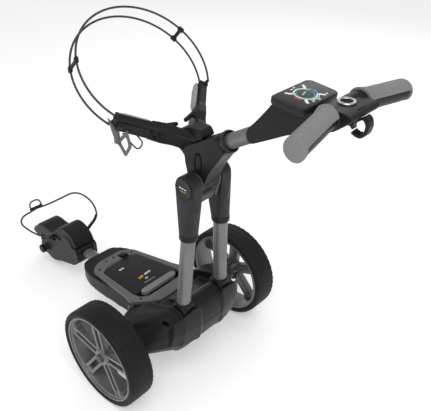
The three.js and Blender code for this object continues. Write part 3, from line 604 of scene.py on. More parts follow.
@dataclass
class Studio:
    """The camera, the lights, the air and the floor."""

    camera_place: Point = (-951.7, 854.2, 1291.9)
    yaw: float = -47.388
    pitch: float = 32.473
    roll: float = 0.11
    lens: float = 49.4
    sensor: float = 36.0
    shift: Flat = (-0.0056, 0.001)
    floor_size: float = 14.0

    def build(self) -> None:
        """Sets up everything round the trolley."""
        bpy.context.scene.view_settings.view_transform = "Standard"
        self._camera()
        self._air()
        self._floor()
        self._lamp("key_light", (-1.6, 1.2, 3.0), (0.1, 0.0, 0.3), 2.2, 46)
        self._lamp("fill_light", (2.6, 2.2, 1.8), (0.2, 0.0, 0.3), 2.6, 8)
        self._lamp("rim_light", (0.8, -2.8, 2.0), (0.0, 0.0, 0.4), 2.0, 14)

    def _camera(self) -> None:
        """The camera, at the place where the trolley is looked at from."""
        data = bpy.data.cameras.new("camera")
        data.sensor_fit = "HORIZONTAL"
        data.sensor_width = self.sensor
        data.lens = self.lens
        data.shift_x, data.shift_y = self.shift
        camera = bpy.data.objects.new("camera", data)
        yaw, pitch = math.radians(self.yaw), math.radians(self.pitch)
        looking = Vector((math.cos(pitch) * math.cos(yaw), math.cos(pitch) * math.sin(yaw),
                          -math.sin(pitch)))
        turn = looking.to_track_quat("-Z", "Y").to_matrix() @ Matrix.Rotation(math.radians(self.roll), 3,
                                                                              "Z")
        camera.matrix_world = Matrix.Translation(metres(*self.camera_place)) @ turn.to_4x4()
        bpy.context.scene.collection.objects.link(camera)
        bpy.context.scene.camera = camera

    def _air(self) -> None:
        """Even white light from all round."""
        world = bpy.data.worlds.new("studio_air")
        world.use_nodes = True
        world.node_tree.nodes["Background"].inputs["Color"].default_value = (1.0, 1.0, 1.0, 1)
        world.node_tree.nodes["Background"].inputs["Strength"].default_value = 0.58
        bpy.context.scene.world = world

    def _floor(self) -> None:
        """A plain pale floor."""
        shape = bmesh.new()
        bmesh.ops.create_grid(shape, x_segments=2, y_segments=2, size=self.floor_size / 2)
        mesh = bpy.data.meshes.new("floor")
        shape.to_mesh(mesh)
        shape.free()
        floor = bpy.data.objects.new("floor", mesh)
        bpy.context.scene.collection.objects.link(floor)
        paint = bpy.data.materials.new("floor_paint")
        paint.use_nodes = True
        shader = paint.node_tree.nodes["Principled BSDF"]
        shader.inputs["Base Color"].default_value = (0.93, 0.93, 0.935, 1)
        shader.inputs["Roughness"].default_value = 0.9
        shader.inputs["Specular IOR Level"].default_value = 0.1
        shader.inputs["Emission Color"].default_value = (1, 1, 1, 1)
        shader.inputs["Emission Strength"].default_value = 0.3
        mesh.materials.append(paint)

    def _lamp(self, name: str, place: Point, target: Point, size: float, power: float) -> None:
        """A soft square lamp aimed at a place."""
        data = bpy.data.lights.new(name, "AREA")
        data.size = size
        data.energy = power
        lamp = bpy.data.objects.new(name, data)
        aim = (Vector(target) - Vector(place)).to_track_quat("-Z", "Y")
        lamp.matrix_world = Matrix.Translation(place) @ aim.to_matrix().to_4x4()
        bpy.context.scene.collection.objects.link(lamp)


# ---------------------------------------------------------------- cords


@dataclass
class Straps:
    """The upper strap's two strands and the lower strap: braided bungee cords, laid here along fixed paths."""

    centre: Point = (71.7, 0.0, 820.4)
    tilt: float = 44.8
    rise: float = 158.4
    side: float = 168.6
    offset: float = 19.3
    reach: float = 121.0
    strand_radius: float = 2.5
    lower_radius: float = 3.0
    count: int = 26
    lower_route: list[Point] = field(default_factory=lambda: [
        (474, -41, 155), (476, -63, 168), (478, -85, 181), (484, -99, 192), (497, -107, 202),
                                                              (519, -113, 214),
        (543, -113, 224), (567, -109, 231), (588, -99, 234), (604, -84, 231), (619, -55, 220),
                                                              (639, -18, 206),
        (650, 0, 200), (662, 19, 194), (670, 39, 185), (677, 56, 178), (679, 68, 171), (673, 78, 163),
        (658, 82, 156), (640, 79, 150), (618, 74, 144), (592, 66, 140), (570, 55, 137), (553, 45, 136),
    ])

    def strand_place(self, angle: float, shift: float) -> Point:
        """A place on a strand: an angle from its foremost top, and a shift across the strap's plane."""
        lean = math.radians(self.tilt)
        out = self.rise * math.cos(angle)
        return (self.centre[0] + out * math.cos(lean) - shift * math.sin(lean), self.side * math.sin(angle),
                self.centre[2] + out * math.sin(lean) + shift * math.cos(lean))

    def build(self) -> None:
        clips = [self._clip(name, side) for name, side in (("left", 1), ("right", -1))]
        for name, shift in (("front", -self.offset), ("rear", self.offset)):
            turns = [math.radians(self.reach) * (2 * i / self.count - 1) for i in range(self.count + 1)]
            path = smooth_path([self.strand_place(t, shift) for t in turns], 5)
            self._cord(f"strap_{name}_cord", "upper_frame", path, self.strand_radius,
                       clips if shift < 0 else [])
        self._cord("lower_strap", "chassis", smooth_path(self.lower_route, 6), self.lower_radius,
                   self._pull())

    def _cord(self, node: str, body: str, path: list[Vector], radius: float, fittings: list) -> None:
        """One braided cord that starts and ends on the trolley.

        Args:
            node: The CAD node that it stands for.
            body: The body that carries it.
            path: The places that it follows.
            radius: Its radius.
            fittings: The pieces on it; not used.
        """
        mould = Mould()
        mould.tube(path, radius, 14)
        made = mould.piece(f"{node}_braid", body, BRAID, (node,), crease=60)

    def _clip(self, name: str, side: int) -> bpy.types.Object:
        """A clip that holds the two strands apart."""
        angle = math.radians(side * 67)
        ends = [Vector(self.strand_place(angle, shift)) for shift in (-self.offset, self.offset)]
        normal = (ends[1] - ends[0]).normalized()
        ahead, behind = (Vector(self.strand_place(angle + step, 0)) for step in (0.02, -0.02))
        along = (ahead - behind).normalized()
        turn = Matrix((along, normal.cross(along), normal)).transposed()
        mould = Mould()
        mould.box((ends[0] + ends[1]) / 2, (9, 5, 40), turn, edge=1.4)
        for end in ends:
            mould.box(end, (15, 8.6, 11), turn, edge=2.4)
        return mould.piece(f"strap_clip_{name}", "upper_frame", BLACK, (f"strap_spacer_{name}",))

    def _pull(self) -> list[bpy.types.Object]:
        """The ring and the clip on the lower strap."""
        along = Vector((0.45, 0.82, -0.3)).normalized()
        up = Vector((0.93, 0, 0.36))
        up = (up - along * up.dot(along)).normalized()
        centre = Vector((662, 19, 194))
        outline = [(-15, 5), (-19, 14), (-17, 25), (-8, 32), (8, 32), (17, 25), (19, 14), (15, 5)]
        loop = Mould()
        loop.tube(smooth_path([tuple(centre + along * a + up * b) for a, b in outline], 5), 2.9, 16)
        clip = Mould()
        clip.box(centre + up * 3.5, (46, 10, 9), Matrix((along, up, along.cross(up))).transposed(),
                 edge=2.6)
        return [loop.piece("lower_strap_ring", "chassis", SURROUND, ("lower_strap_hook",)),
                clip.piece("lower_strap_clip", "chassis", BLACK)]


# ---------------------------------------------------------------- rear wheels


@dataclass
class RearWheel:
    """A drive wheel: ribbed tyre, deep rim with five grooved spokes, and a push-button hub cap."""

    name: str
    side: int
    radius: float = 140.0
    centre_y: float = 242.3
    height: float = 140.0
    spokes: int = 5
    tyre: list[Flat] = field(default_factory=lambda: [
        (123.6, -33), (127, -35.6), (130.5, -37.1), (134, -36.6), (137, -34.6), (139, -31), (139.9, -26.5),
        (139.9, -22.8), (139.4, -22), (139.9, -21.2), (140, -8), (140, 8), (139.9, 21.2), (139.4, 22),
                                                      (139.9, 22.8),
        (139.9, 26.5), (139, 31), (137, 34.6), (134, 36.6),
        (130.5, 37.1), (127, 35.6), (123.6, 33)])
    barrel: list[Flat] = field(default_factory=lambda: [
        (115.6, -33.4), (116.8, -34.3), (122, -34.3), (123.2, -33.4), (123.2, 33.4), (122.4, 34.2),
                                                        (119.4, 34.2),
        (118.2, 33), (117.6, 29.5), (114.6, 27.5), (113.4, 24), (114.4, 0)])

    def _to_wheel(self) -> Matrix:
        """From the wheel's own frame, its outer face towards +Y, to its place."""
        turn = Matrix.Rotation(0 if self.side > 0 else math.pi, 4, "Z")
        return Matrix.Translation((0, self.side * self.centre_y, self.height)) @ turn

    def _finish(self, mould: Mould, suffix: str, finish: Finish, replaces: tuple[str, ...] = (),
                body: str | None = None) -> None:
        """Puts a mould made about the wheel's centre in its place."""
        mould.move(mould.bm.verts, self._to_wheel())
        mould.piece(f"{self.name}_{suffix}", body or f"{self.name}_wheel", finish, replaces)

    def build(self) -> None:
        """Makes the wheel's pieces."""
        self._tyre()
        self._rim()
        self._spokes()
        self._hub()

    def _tyre(self) -> None:
        """The tyre, with circumferential ribs and short blocks along its shoulders."""
        mould = Mould()
        mould.lathe(self.tyre, (0, 0, 0), steps=128)
        self._finish(mould, "tyre_tread", TYRE, (f"{self.name}_tyre",))
        blocks = Mould()
        count = 48
        for i in range(count):
            for edge in (1, -1):
                turn = Matrix.Rotation(2 * math.pi * (i + (0.5 if edge < 0 else 0)) / count, 3, "Y")
                verts = blocks.box((0, edge * 33.6, 136.3), (8, 1.6, 4.4), edge=0.5)
                blocks.move(verts, turn.to_4x4())
        self._finish(blocks, "tyre_shoulder_blocks", TYRE)

    def _rim(self) -> None:
        """The smooth deep barrel."""
        mould = Mould()
        mould.lathe(self.barrel, (0, 0, 0), steps=128)
        self._finish(mould, "rim_barrel", WHEEL_GREY, (f"{self.name}_rim",))

    def _spokes(self) -> None:
        """Five spokes, each a channel with bright edges and a dark floor."""
        webs, floors, feet = Mould(), Mould(), Mould()
        for i in range(self.spokes):
            turn = Matrix.Rotation(2 * math.pi * i / self.spokes, 4, "Y")
            new = []
            for edge in (1, -1):
                wall = [(edge * 15.5, 18), (edge * 7.4, 18), (edge * 7.0, 115), (edge * 15.5, 115)]
                new += webs.prism([(a, b) for a, b in wall], Axis.Y, 6, 22, edge=0.9)
            new += webs.prism([(-12, 18), (12, 18), (11, 115), (-11, 115)], Axis.Y, 3, 9, edge=0.6)
            webs.move(new, turn)
            bed = floors.prism([(-7.6, 20), (7.6, 20), (7.2, 113), (-7.2, 113)], Axis.Y, 9, 10.2)
            floors.move(bed, turn)
            foot = feet.prism([(-15, 98), (15, 98), (24, 115.4), (-24, 115.4)], Axis.Y, 4, 20, corner=3,
                              edge=0.8)
            feet.move(foot, turn)
        for mould in (webs, floors, feet):
            for vert in mould.bm.verts:
                out = math.hypot(vert.co.x, vert.co.z)
                vert.co.y += 0.09 * out - 4
        self._finish(webs, "spoke_channels", WHEEL_GREY)
        self._finish(floors, "spoke_floors", WHEEL_DARK)
        self._finish(feet, "spoke_feet", WHEEL_GREY)

    def _hub(self) -> None:
        """The hub barrel, its inner boss with ribs, and the push-button cap."""
        hub = Mould()
        hub.lathe([(8.6, -22), (20, -22), (26, -19), (27, -16), (27, 13), (25.5, 17), (22, 23), (20.5, 24),
                   (12.8, 24), (12.8, 10), (8.6, 10)], (0, 0, 0), steps=64)
        self._finish(hub, "hub_barrel", WHEEL_GREY)
        ribs = Mould()
        for i in range(10):
            verts = ribs.box((0, -12, 29), (2.6, 17, 7), edge=0.5)
            ribs.move(verts, Matrix.Rotation(2 * math.pi * (i + 0.5) / 10, 4, "Y"))
        self._finish(ribs, "hub_ribs", WHEEL_DARK)
        cap = Mould()
        cap.lathe([(0, 15), (12, 15), (12, 29.6), (11, 31), (8.6, 32), (7.4, 31.2), (0, 30.9)], (0, 0, 0),
                  steps=48)
        self._finish(cap, "hub_cap", CAP_OLIVE, (f"{self.name}_hub_button",), f"{self.name}_release")


# ---------------------------------------------------------------- drive housing


@dataclass
class DriveHousing:
    """The moulded drive cover between the wheels, with what is inside it."""

    pivot: Flat = (-110.0, 240.0)
    wall_in: list[Flat] = field(default_factory=lambda: [
        (-139.5, 262), (-144, 258), (-148.5, 228), (-149, 195), (-140, 144), (-122, 122)])
    wall_out: list[Flat] = field(default_factory=lambda: [
        (-138.5, 256), (-141, 250), (-144, 228), (-143, 200), (-130, 150), (-112, 124)])
    flank: list[Flat] = field(default_factory=lambda: [
        (-134, 150), (-139, 205), (-134, 244), (-100, 254), (10, 206), (60, 172), (84, 148), (56, 104),
                                                       (-60, 98),
        (-108, 118)])
    slots: list[tuple[Point, Point]] = field(default_factory=lambda: [
        ((-148, 43, 222), (14, 26, 4)), ((-148, 43, 213), (14, 26, 4)), ((-148, 43, 204), (14, 26, 4)),
        ((-145, 93, 226), (14, 4, 24)), ((-96, 116, 222), (22, 24, 9)),
    ])

    def build(self) -> None:
        """Makes the covers and dresses the drive train."""
        cuts = Mould()
        for centre, size in self.slots:
            cuts.box(centre, size, edge=1)
        for level in (122.0, 224.0):
            cuts.box((-147, 0, level), (3.0, 60, 1.4))
        cover = Mould.of_node("rear_housing")
        for side in (1, -1):
            cover.hull([Vector((x, side * 40, z)) for x, z in self.wall_in],
                       [Vector((x, side * 99, z)) for x, z in self.wall_out])
            cover.hull([Vector((x, side * 96, z)) for x, z in self.wall_out],
                       [Vector((x + 16, side * 124, z - (z - 165) * 0.2)) for x, z in self.wall_out])
            cover.hull([Vector((x, side * 96, z)) for x, z in self.flank], ring((0, side * 190, 140), 45),
                       ring((0, side * 150, 140), 58))
        cover.soften(2.3, 9, cuts).piece("rear_housing_cover", "chassis", BLACK, ("rear_housing",))
        Mould.of_node("housing_base").soften(2.6, 4).piece("housing_base_cover", "chassis", BASE_BLACK,
                                                           ("housing_base",))
        self._trim()
        for node, finish in (("gearbox", CASTING), ("drive_motor", CASTING), ("control_board", BOARD),
                             ("left_axle_bearing", STEEL), ("right_axle_bearing", STEEL),
                             ("drive_axle", STEEL),
                             ("strut_pivot_rod", STEEL)):
            dress(node, finish)

    def _trim(self) -> None:
        """Collars round the axle and caps over the pivot rod's ends."""
        for name, side in (("left", 1), ("right", -1)):
            collar = Mould()
            collar.lathe([(9, 196.6), (38, 196.6), (38, 199), (30, 202), (18, 203.4), (9, 203.4)],
                         (0, 0, 140), steps=64)
            if side < 0:
                collar.move(collar.bm.verts, Matrix.Scale(-1, 4, (0, 1, 0)))
            collar.piece(f"{name}_axle_collar", "chassis", DARK)
            cap = Mould()
            x, z = self.pivot
            cap.rod((x, side * 98.3, z), (x, side * 100.6, z), 9, segments=40, edge=0.8)
            cap.piece(f"{name}_pivot_cap", "chassis", DARK)
        screws = Mould()
        for x, y, z in ((-60, 70, 208.6), (-60, -70, 208.6)):
            screws.rod((x, y, z), (x, y, z + 1.6), 4.6, segments=24, edge=0.5)
        screws.piece("housing_screws", "chassis", STEEL)


# ---------------------------------------------------------------- battery bay


@dataclass
class BatteryBay:
    """The tray with its sloping grey surround, and the lift-out battery."""

    slope: float = 0.1227
    edge_x: float = 241.0
    edge_z: float = 170.0

    def deck(self, x: float, y: float, lift: float = 0.0) -> Matrix:
        """The frame of a place on the sloping deck, its third direction straight out of the deck."""
        lean = math.atan(self.slope)
        place = Vector((x, y, self.edge_z + (self.edge_x - x) * self.slope))
        return Matrix.Translation(place) @ Matrix.Rotation(lean, 4, "Y") @ Matrix.Translation((0, 0, lift))

    def build(self) -> None:
        """Makes the bay, the battery and the printed marks."""
        Mould.of_node("tray_surround").round_edges(1.6, 3).piece("tray_surround_ring", "chassis", SURROUND,
                                                                 ("tray_surround",))
        Mould.of_node("battery_tray").soften(2.4, 4).piece("battery_tray_shell", "chassis", BLACK,
                                                           ("battery_tray",))
        Mould.of_node("battery_case").round_edges(1.2).piece("battery_case_shell", "battery", DARK,
                                                             ("battery_case",))
        Mould.of_node("battery_lid").round_edges(1.8, 4).piece("battery_lid_shell", "battery", BLACK,
                                                               ("battery_lid",))
        bar = Mould.of_node("battery_handle")
        outline = mirrored([(53, 50), (58, 61), (67, 64), (76, 54)])
        bar.move(bar.prism([(x - 64, y) for x, y in outline], Axis.Z, -5, 5.5), self.deck(64, 0))
        bar.soften(1.2, 5).piece("battery_handle_bar", "battery", SILVER, ("battery_handle",))
        Mould.of_node("battery_latch").round_edges(0.9).piece("battery_latch_lever", "latch", BLACK,
                                                              ("battery_latch",))
        self._marks()
        self._grille()

    def _marks(self) -> None:
        """Plain printed marks on the lid: bars, a ring and a row of charge lights."""
        marks = [("front_bars", WHITE_MARK, [((210, 14 + 6 * i), (7, 3.6)) for i in range(3)]),
                 ("rear_bars", WHITE_MARK, [((132 + 0.4 * i, -6 - 6 * i), (8, 3.8)) for i in range(4)]),
                 ("amber_bars", AMBER_MARK, [((128 + 1.6 * i, 18 - 6.5 * i), (10, 4)) for i in range(3)]),
                 ("charge_lights", WHITE_MARK, [((98, 22 - 7 * i), (1.8, 3.4)) for i in range(6)])]
        for name, finish, spots in marks:
            mould = Mould()
            for (x, y), (length, width) in spots:
                verts = mould.box((0, 0, 0.1), (length, width, 0.3))
                mould.move(verts, self.deck(x, y))
            mould.piece(f"lid_{name}", "battery", finish)
        button = Mould()
        verts = button.lathe([(2.6, 0), (4.4, 0), (4.4, 0.35), (2.6, 0.35)], (0, 0, 0), Axis.Z, 32)
        button.move(verts, self.deck(113, 4))
        button.piece("lid_charge_button", "battery", WHITE_MARK)

    def _grille(self) -> None:
        """Screws in the surround."""
        # Near-black discs: painted shade of the screws' pockets.
        screws = Mould()
        for x, y in ((48, 82), (48, -82), (262, 62), (262, -62), (284, 20), (284, -8)):
            verts = screws.rod((0, 0, -0.4), (0, 0, 0.9), 3.4, segments=24, edge=0.4)
            screws.move(verts, self.deck(x, y))
        screws.piece("surround_screws", "chassis", BLACK_AND_PAINTED_SHADE)


# ---------------------------------------------------------------- front end


@dataclass
class FrontEnd:
    """The neck, the fork, the cradle for the bag's foot, the small wheel and the tracking knob."""

    wheel: Point = (608.0, 0.0, 69.0)

    def build(self) -> None:
        """Makes the front end."""
        self._neck()
        Mould.of_node("front_fork").soften(1.9, 5).piece("front_fork_shell", "chassis", BLACK,
                                                         ("front_fork",))
        hood = Mould.of_node("bag_cradle")
        x, _, z = self.wheel
        arch = [(x + 82 * math.cos(t),
                 z + 82 * math.sin(t)) for t in (math.radians(a) for a in range(28, 156, 8))]
        arch += [(x + 47 * math.cos(t),
                  z + 47 * math.sin(t)) for t in (math.radians(a) for a in range(148, 20, -8))]
        for side in (1, -1):
            hood.prism(arch, Axis.Y, side * 33.5 - 3, side * 33.5 + 3, edge=1.5)
            hood.hull(ring((470, side * 30, 160), 34, 30), ring((470, side * 40, 150), 28, 22))
        room = Mould()
        room.rod((x, -60, z), (x, 60, z), 46, segments=64)
        hood.soften(1.7, 10, room).piece("bag_cradle_shell", "chassis", BLACK, ("bag_cradle",))
        self._wheel()
        self._knob()
        self._strap_fittings()
        dress("front_axle", STEEL)

    def _neck(self) -> None:
        """The oval neck tube with a shallow channel along each side."""
        mould = Mould()
        mould.hull(ring((325, 0, 122), 20, 13.5, Axis.X, 64), ring((452, 0, 122), 20, 13.5, Axis.X, 64))
        grooves = Mould()
        for side in (1, -1):
            grooves.rod((320, side * 20.8, 122), (460, side * 20.8, 122), 3.2, segments=24)
        mould.soften(1.3, 1, grooves).piece("neck_tube_bar", "chassis", TUBE, ("neck_tube",))

    def _wheel(self) -> None:
        """The small front wheel with a rounded, grooved tyre."""
        tyre = Mould()
        tyre.lathe([(46, -15.6), (50, -18.6), (55, -20.6), (58.5, -20.9), (62, -19.2), (65.4, -15),
                    (67.4, -10.6),
                    (67.7, -9.2), (66.9, -8.6), (67.1, -7.4), (68.2, -6.8), (69, -3), (69, 3), (68.2, 6.8),
                    (67.1, 7.4),
                    (66.9, 8.6), (67.7, 9.2), (67.4, 10.6), (65.4, 15), (62, 19.2), (58.5, 20.9),
                    (55, 20.6),
                    (50, 18.6), (46, 15.6)], self.wheel, steps=96)
        tyre.piece("front_tyre_tread", "front_wheel", TYRE, ("front_tyre",))
        hub = Mould()
        hub.lathe([(5.4, -20), (13, -20), (14.4, -19), (15, -10), (17, -8), (37, -8), (41, -10.6),
                   (45.6, -14),
                   (45.6, 14), (41, 10.6), (37, 8), (17, 8), (15, 10), (14.4, 19), (13, 20), (5.4, 20)],
                  self.wheel, steps=64)
        for i in range(6):
            for side in (1, -1):
                verts = hub.box((0, side * 10, 27), (4, 5, 24), edge=0.8)
                hub.move(verts, Matrix.Translation(self.wheel) @ Matrix.Rotation(math.pi * i / 3, 4, "Y"))
        hub.piece("front_hub_disc", "front_wheel", WHEEL_DARK, ("front_hub",))

    def _knob(self) -> None:
        """The knurled knob that trims the wheel's tracking."""
        x, _, z = self.wheel
        knob = Mould()
        knob.rod((x, 44.6, z), (x, 58, z), 13.2, segments=60, edge=0.8)
        for i in range(16):
            turn = 2 * math.pi * i / 16
            edge = (x + 12.8 * math.cos(turn), z + 12.8 * math.sin(turn))
            knob.rod((edge[0], 45.4, edge[1]), (edge[0], 57.2, edge[1]), 2.1, segments=12, edge=0.5)
        knob.piece("tracking_knob_grip", "tracking", BLACK, ("tracking_knob",))

    def _strap_fittings(self) -> None:
        """The lower strap's left anchor and the stiff sleeve at its right end."""
        sleeve = Mould()
        route = [(474, -41, 155), (476, -63, 168), (478, -85, 181), (484, -98, 191)]
        sleeve.tube(smooth_path(route, 6), 5.6, 20, 4.6)
        sleeve.piece("lower_strap_sleeve", "chassis", SLEEVE_RUBBER)
        anchor = Mould()
        anchor.rod((558, 48, 136.4), (541, 38.6, 135), 6.2, 7.4, 24, 0.9)
        anchor.piece("lower_strap_anchor", "chassis", BLACK)


# ---------------------------------------------------------------- strut frame


@dataclass
class StrutFrame:
    """The two struts, their feet and sleeves, and the yoke with the main hinge pin."""

    low: Point = (-110.5, 68.5, 272.5)
    high: Point = (-122.6, 56.5, 468.3)
    boss: Flat = (-121.0, 609.0)
    boss_outer: float = 64.0
    cap_face: float = 68.5

    def axis(self, z: float, side: int) -> Point:
        """A place on a strut's centre line at a height."""
        share = (z - self.low[2]) / (self.high[2] - self.low[2])
        x, y = (a + share * (b - a) for a, b in zip(self.low[:2], self.high[:2]))
        return (x, side * y, z)

    def build(self) -> None:
        """Makes both struts and the yoke."""
        for name, side in (("left", 1), ("right", -1)):
            self._strut(name, side)
            self._cap(name, side)
            Mould.of_node(f"{name}_strut_foot").soften(1.7, 4).piece(f"{name}_foot_knuckle", "strut_frame",
                                                                     BLACK,
                                                                     (f"{name}_strut_foot",))
            sleeve = Mould.of_node(f"{name}_sleeve")
            x, z = self.boss
            sleeve.hull(ring((x, side * 32, z), 29.5), ring((x, side * 63.4, z), 29.5),
                        ring((x - 3.5, side * 50.5, 552), 27.5, 16.5, Axis.Z),
                        ring((x - 3, side * 51, 536), 23, 16, Axis.Z))
            sleeve.soften(1.5, 7).piece(f"{name}_sleeve_shell", "strut_frame", DARK, (f"{name}_sleeve",))
            band = Mould()
            band.hull(*[ring(self.axis(height, side), 23.4 + grow, 21.9 + grow, Axis.Z, 64)
                        for height, grow in ((470, 0), (473, 0.7), (482, 0.7), (485, 0))])
            band.piece(f"{name}_sleeve_band", "strut_frame", BLACK)
        Mould.of_node("hinge_yoke").soften(1.4, 4).piece("hinge_yoke_casting", "strut_frame", SURROUND,
                                                         ("hinge_yoke",))
        dress("main_hinge_pin", STEEL)

    def _strut(self, name: str, side: int) -> None:
        """An oval tube with a channel down its rear and front faces."""
        mould = Mould()
        mould.hull(ring(self.axis(252, side), 19, 17.5, Axis.Z, 64),
                   ring(self.axis(520, side), 19, 17.5, Axis.Z, 64))
        grooves = Mould()
        for x, y in ((-18.4, 5.5), (18.4, 5.5), (-18.4, -5.5), (18.4, -5.5)):
            a, b = self.axis(240, side), self.axis(530, side)
            grooves.rod((a[0] + x, a[1] + y, a[2]), (b[0] + x, b[1] + y, b[2]), 1.5, segments=16)
        mould.soften(1.2, 1, grooves).piece(f"{name}_strut_tube", "strut_frame", TUBE, (f"{name}_strut",))

    def _cap(self, name: str, side: int) -> None:
        """The dished disc on the boss, with a plain printed mark."""
        x, z = self.boss
        cap = Mould()
        outer = self.cap_face
        cap.lathe([(0, self.boss_outer + 0.4), (25.8, self.boss_outer + 0.4), (25.8, outer - 1.6),
                   (25, outer - 0.4),
                   (23.4, outer), (21.6, outer - 0.7), (0, outer - 0.7)], (x, 0, z), steps=72)
        mark = Mould()
        for i in range(3):
            mark.box((x + 9 - 8 * i, outer - 0.5, z + 2 - 0.6 * i), (5.6, 0.4, 3.2 - 0.5 * i))
        rule = Mould()
        rule.box((x - 1, outer - 0.5, z - 6), (20, 0.4, 1.1))
        for mould, piece, finish in ((cap, "boss_disc", DARK), (mark, "boss_mark", WHITE_MARK),
                                     (rule, "boss_rule", AMBER_MARK)):
            if side < 0:
                mould.move(mould.bm.verts, Matrix.Scale(-1, 4, (0, 1, 0)))
            replaced = (f"{name}_boss_cap",) if piece == "boss_disc" else ()
            mould.piece(f"{name}_{piece}", "strut_frame", finish, replaced)


# ---------------------------------------------------------------- upper frame


@dataclass
class HingeBlock:
    """The folding block, its release button, the socket collar and the shaft."""

    shaft_start: Flat = (-204.0, 733.0)
    shaft_lean: float = 31.1
    radius: float = 17.5
    button_x: float = -129
    button_z: float = 662

    def on_shaft(self, along: float, y: float = 0.0) -> Point:
        """A place on the shaft's centre line."""
        lean = math.radians(self.shaft_lean)
        return (self.shaft_start[0] - along * math.cos(lean), y,
                self.shaft_start[1] + along * math.sin(lean))

    def build(self) -> None:
        """Makes the block, button, collar and shaft."""
        x, z = self.button_x, self.button_z
        pocket = Mould()
        pocket.hull(ring((x, 15, z), 11.6, 25.6), ring((x, 34, z), 11.6, 25.6))
        Mould.of_node("hinge_block").soften(1.5, 5, pocket).piece("hinge_block_shell", "upper_frame", BLACK,
                                                                  ("hinge_block",))
        button = Mould()
        button.hull(ring((x, 21.5, z), 9, 23), ring((x, 24.6, z), 9, 23), ring((x, 26.6, z), 6.5, 19.5))
        button.piece("release_button_pad", "fold_release", BLACK, ("release_button",))
        # A flat near-black ring round the button: painted shade in the gap between the button and its pocket.
        gap_shade = Mould()
        gap_shade.lathe([(7.4, 0), (10.6, 0), (10.6, 0.5), (7.4, 0.5)], (0, 0, 0), steps=48)
        gap_shade.move(gap_shade.bm.verts, Matrix.Translation((x, 26, z)) @ Matrix.Diagonal((1.1, 1, 2.4, 1)))
        gap_shade.piece("release_button_gap_shade", "upper_frame", BLACK_AND_PAINTED_SHADE)
        rib = Mould()
        for dz in (-8, 0, 8):
            rib.box((x, 26.7, z + dz), (9, 1.2, 2.2), edge=0.4)
        rib.piece("release_button_ribs", "fold_release", DARK)
        shaft = Mould()
        shaft.rod(self.on_shaft(-57), self.on_shaft(160), self.radius, segments=64)
        shaft.piece("shaft_tube_bar", "upper_frame", TUBE, ("shaft_tube",))
        self._collar()

    def _collar(self) -> None:
        """The flared collar where the shaft leaves the block."""
        collar = Mould()
        a, b, c = self.on_shaft(-22), self.on_shaft(-3), self.on_shaft(2)
        collar.rod(a, b, 22.5, 26.2, 56)
        collar.rod(b, c, 26.2, 24.4, 56)
        collar.soften(1.3, 3, self._bore()).piece("shaft_collar", "upper_frame", DARK)

    def _bore(self) -> Mould:
        """The room for the shaft through the collar and the block."""
        bore = Mould()
        bore.rod(self.on_shaft(-60), self.on_shaft(20), self.radius + 4.6, segments=56)
        return bore


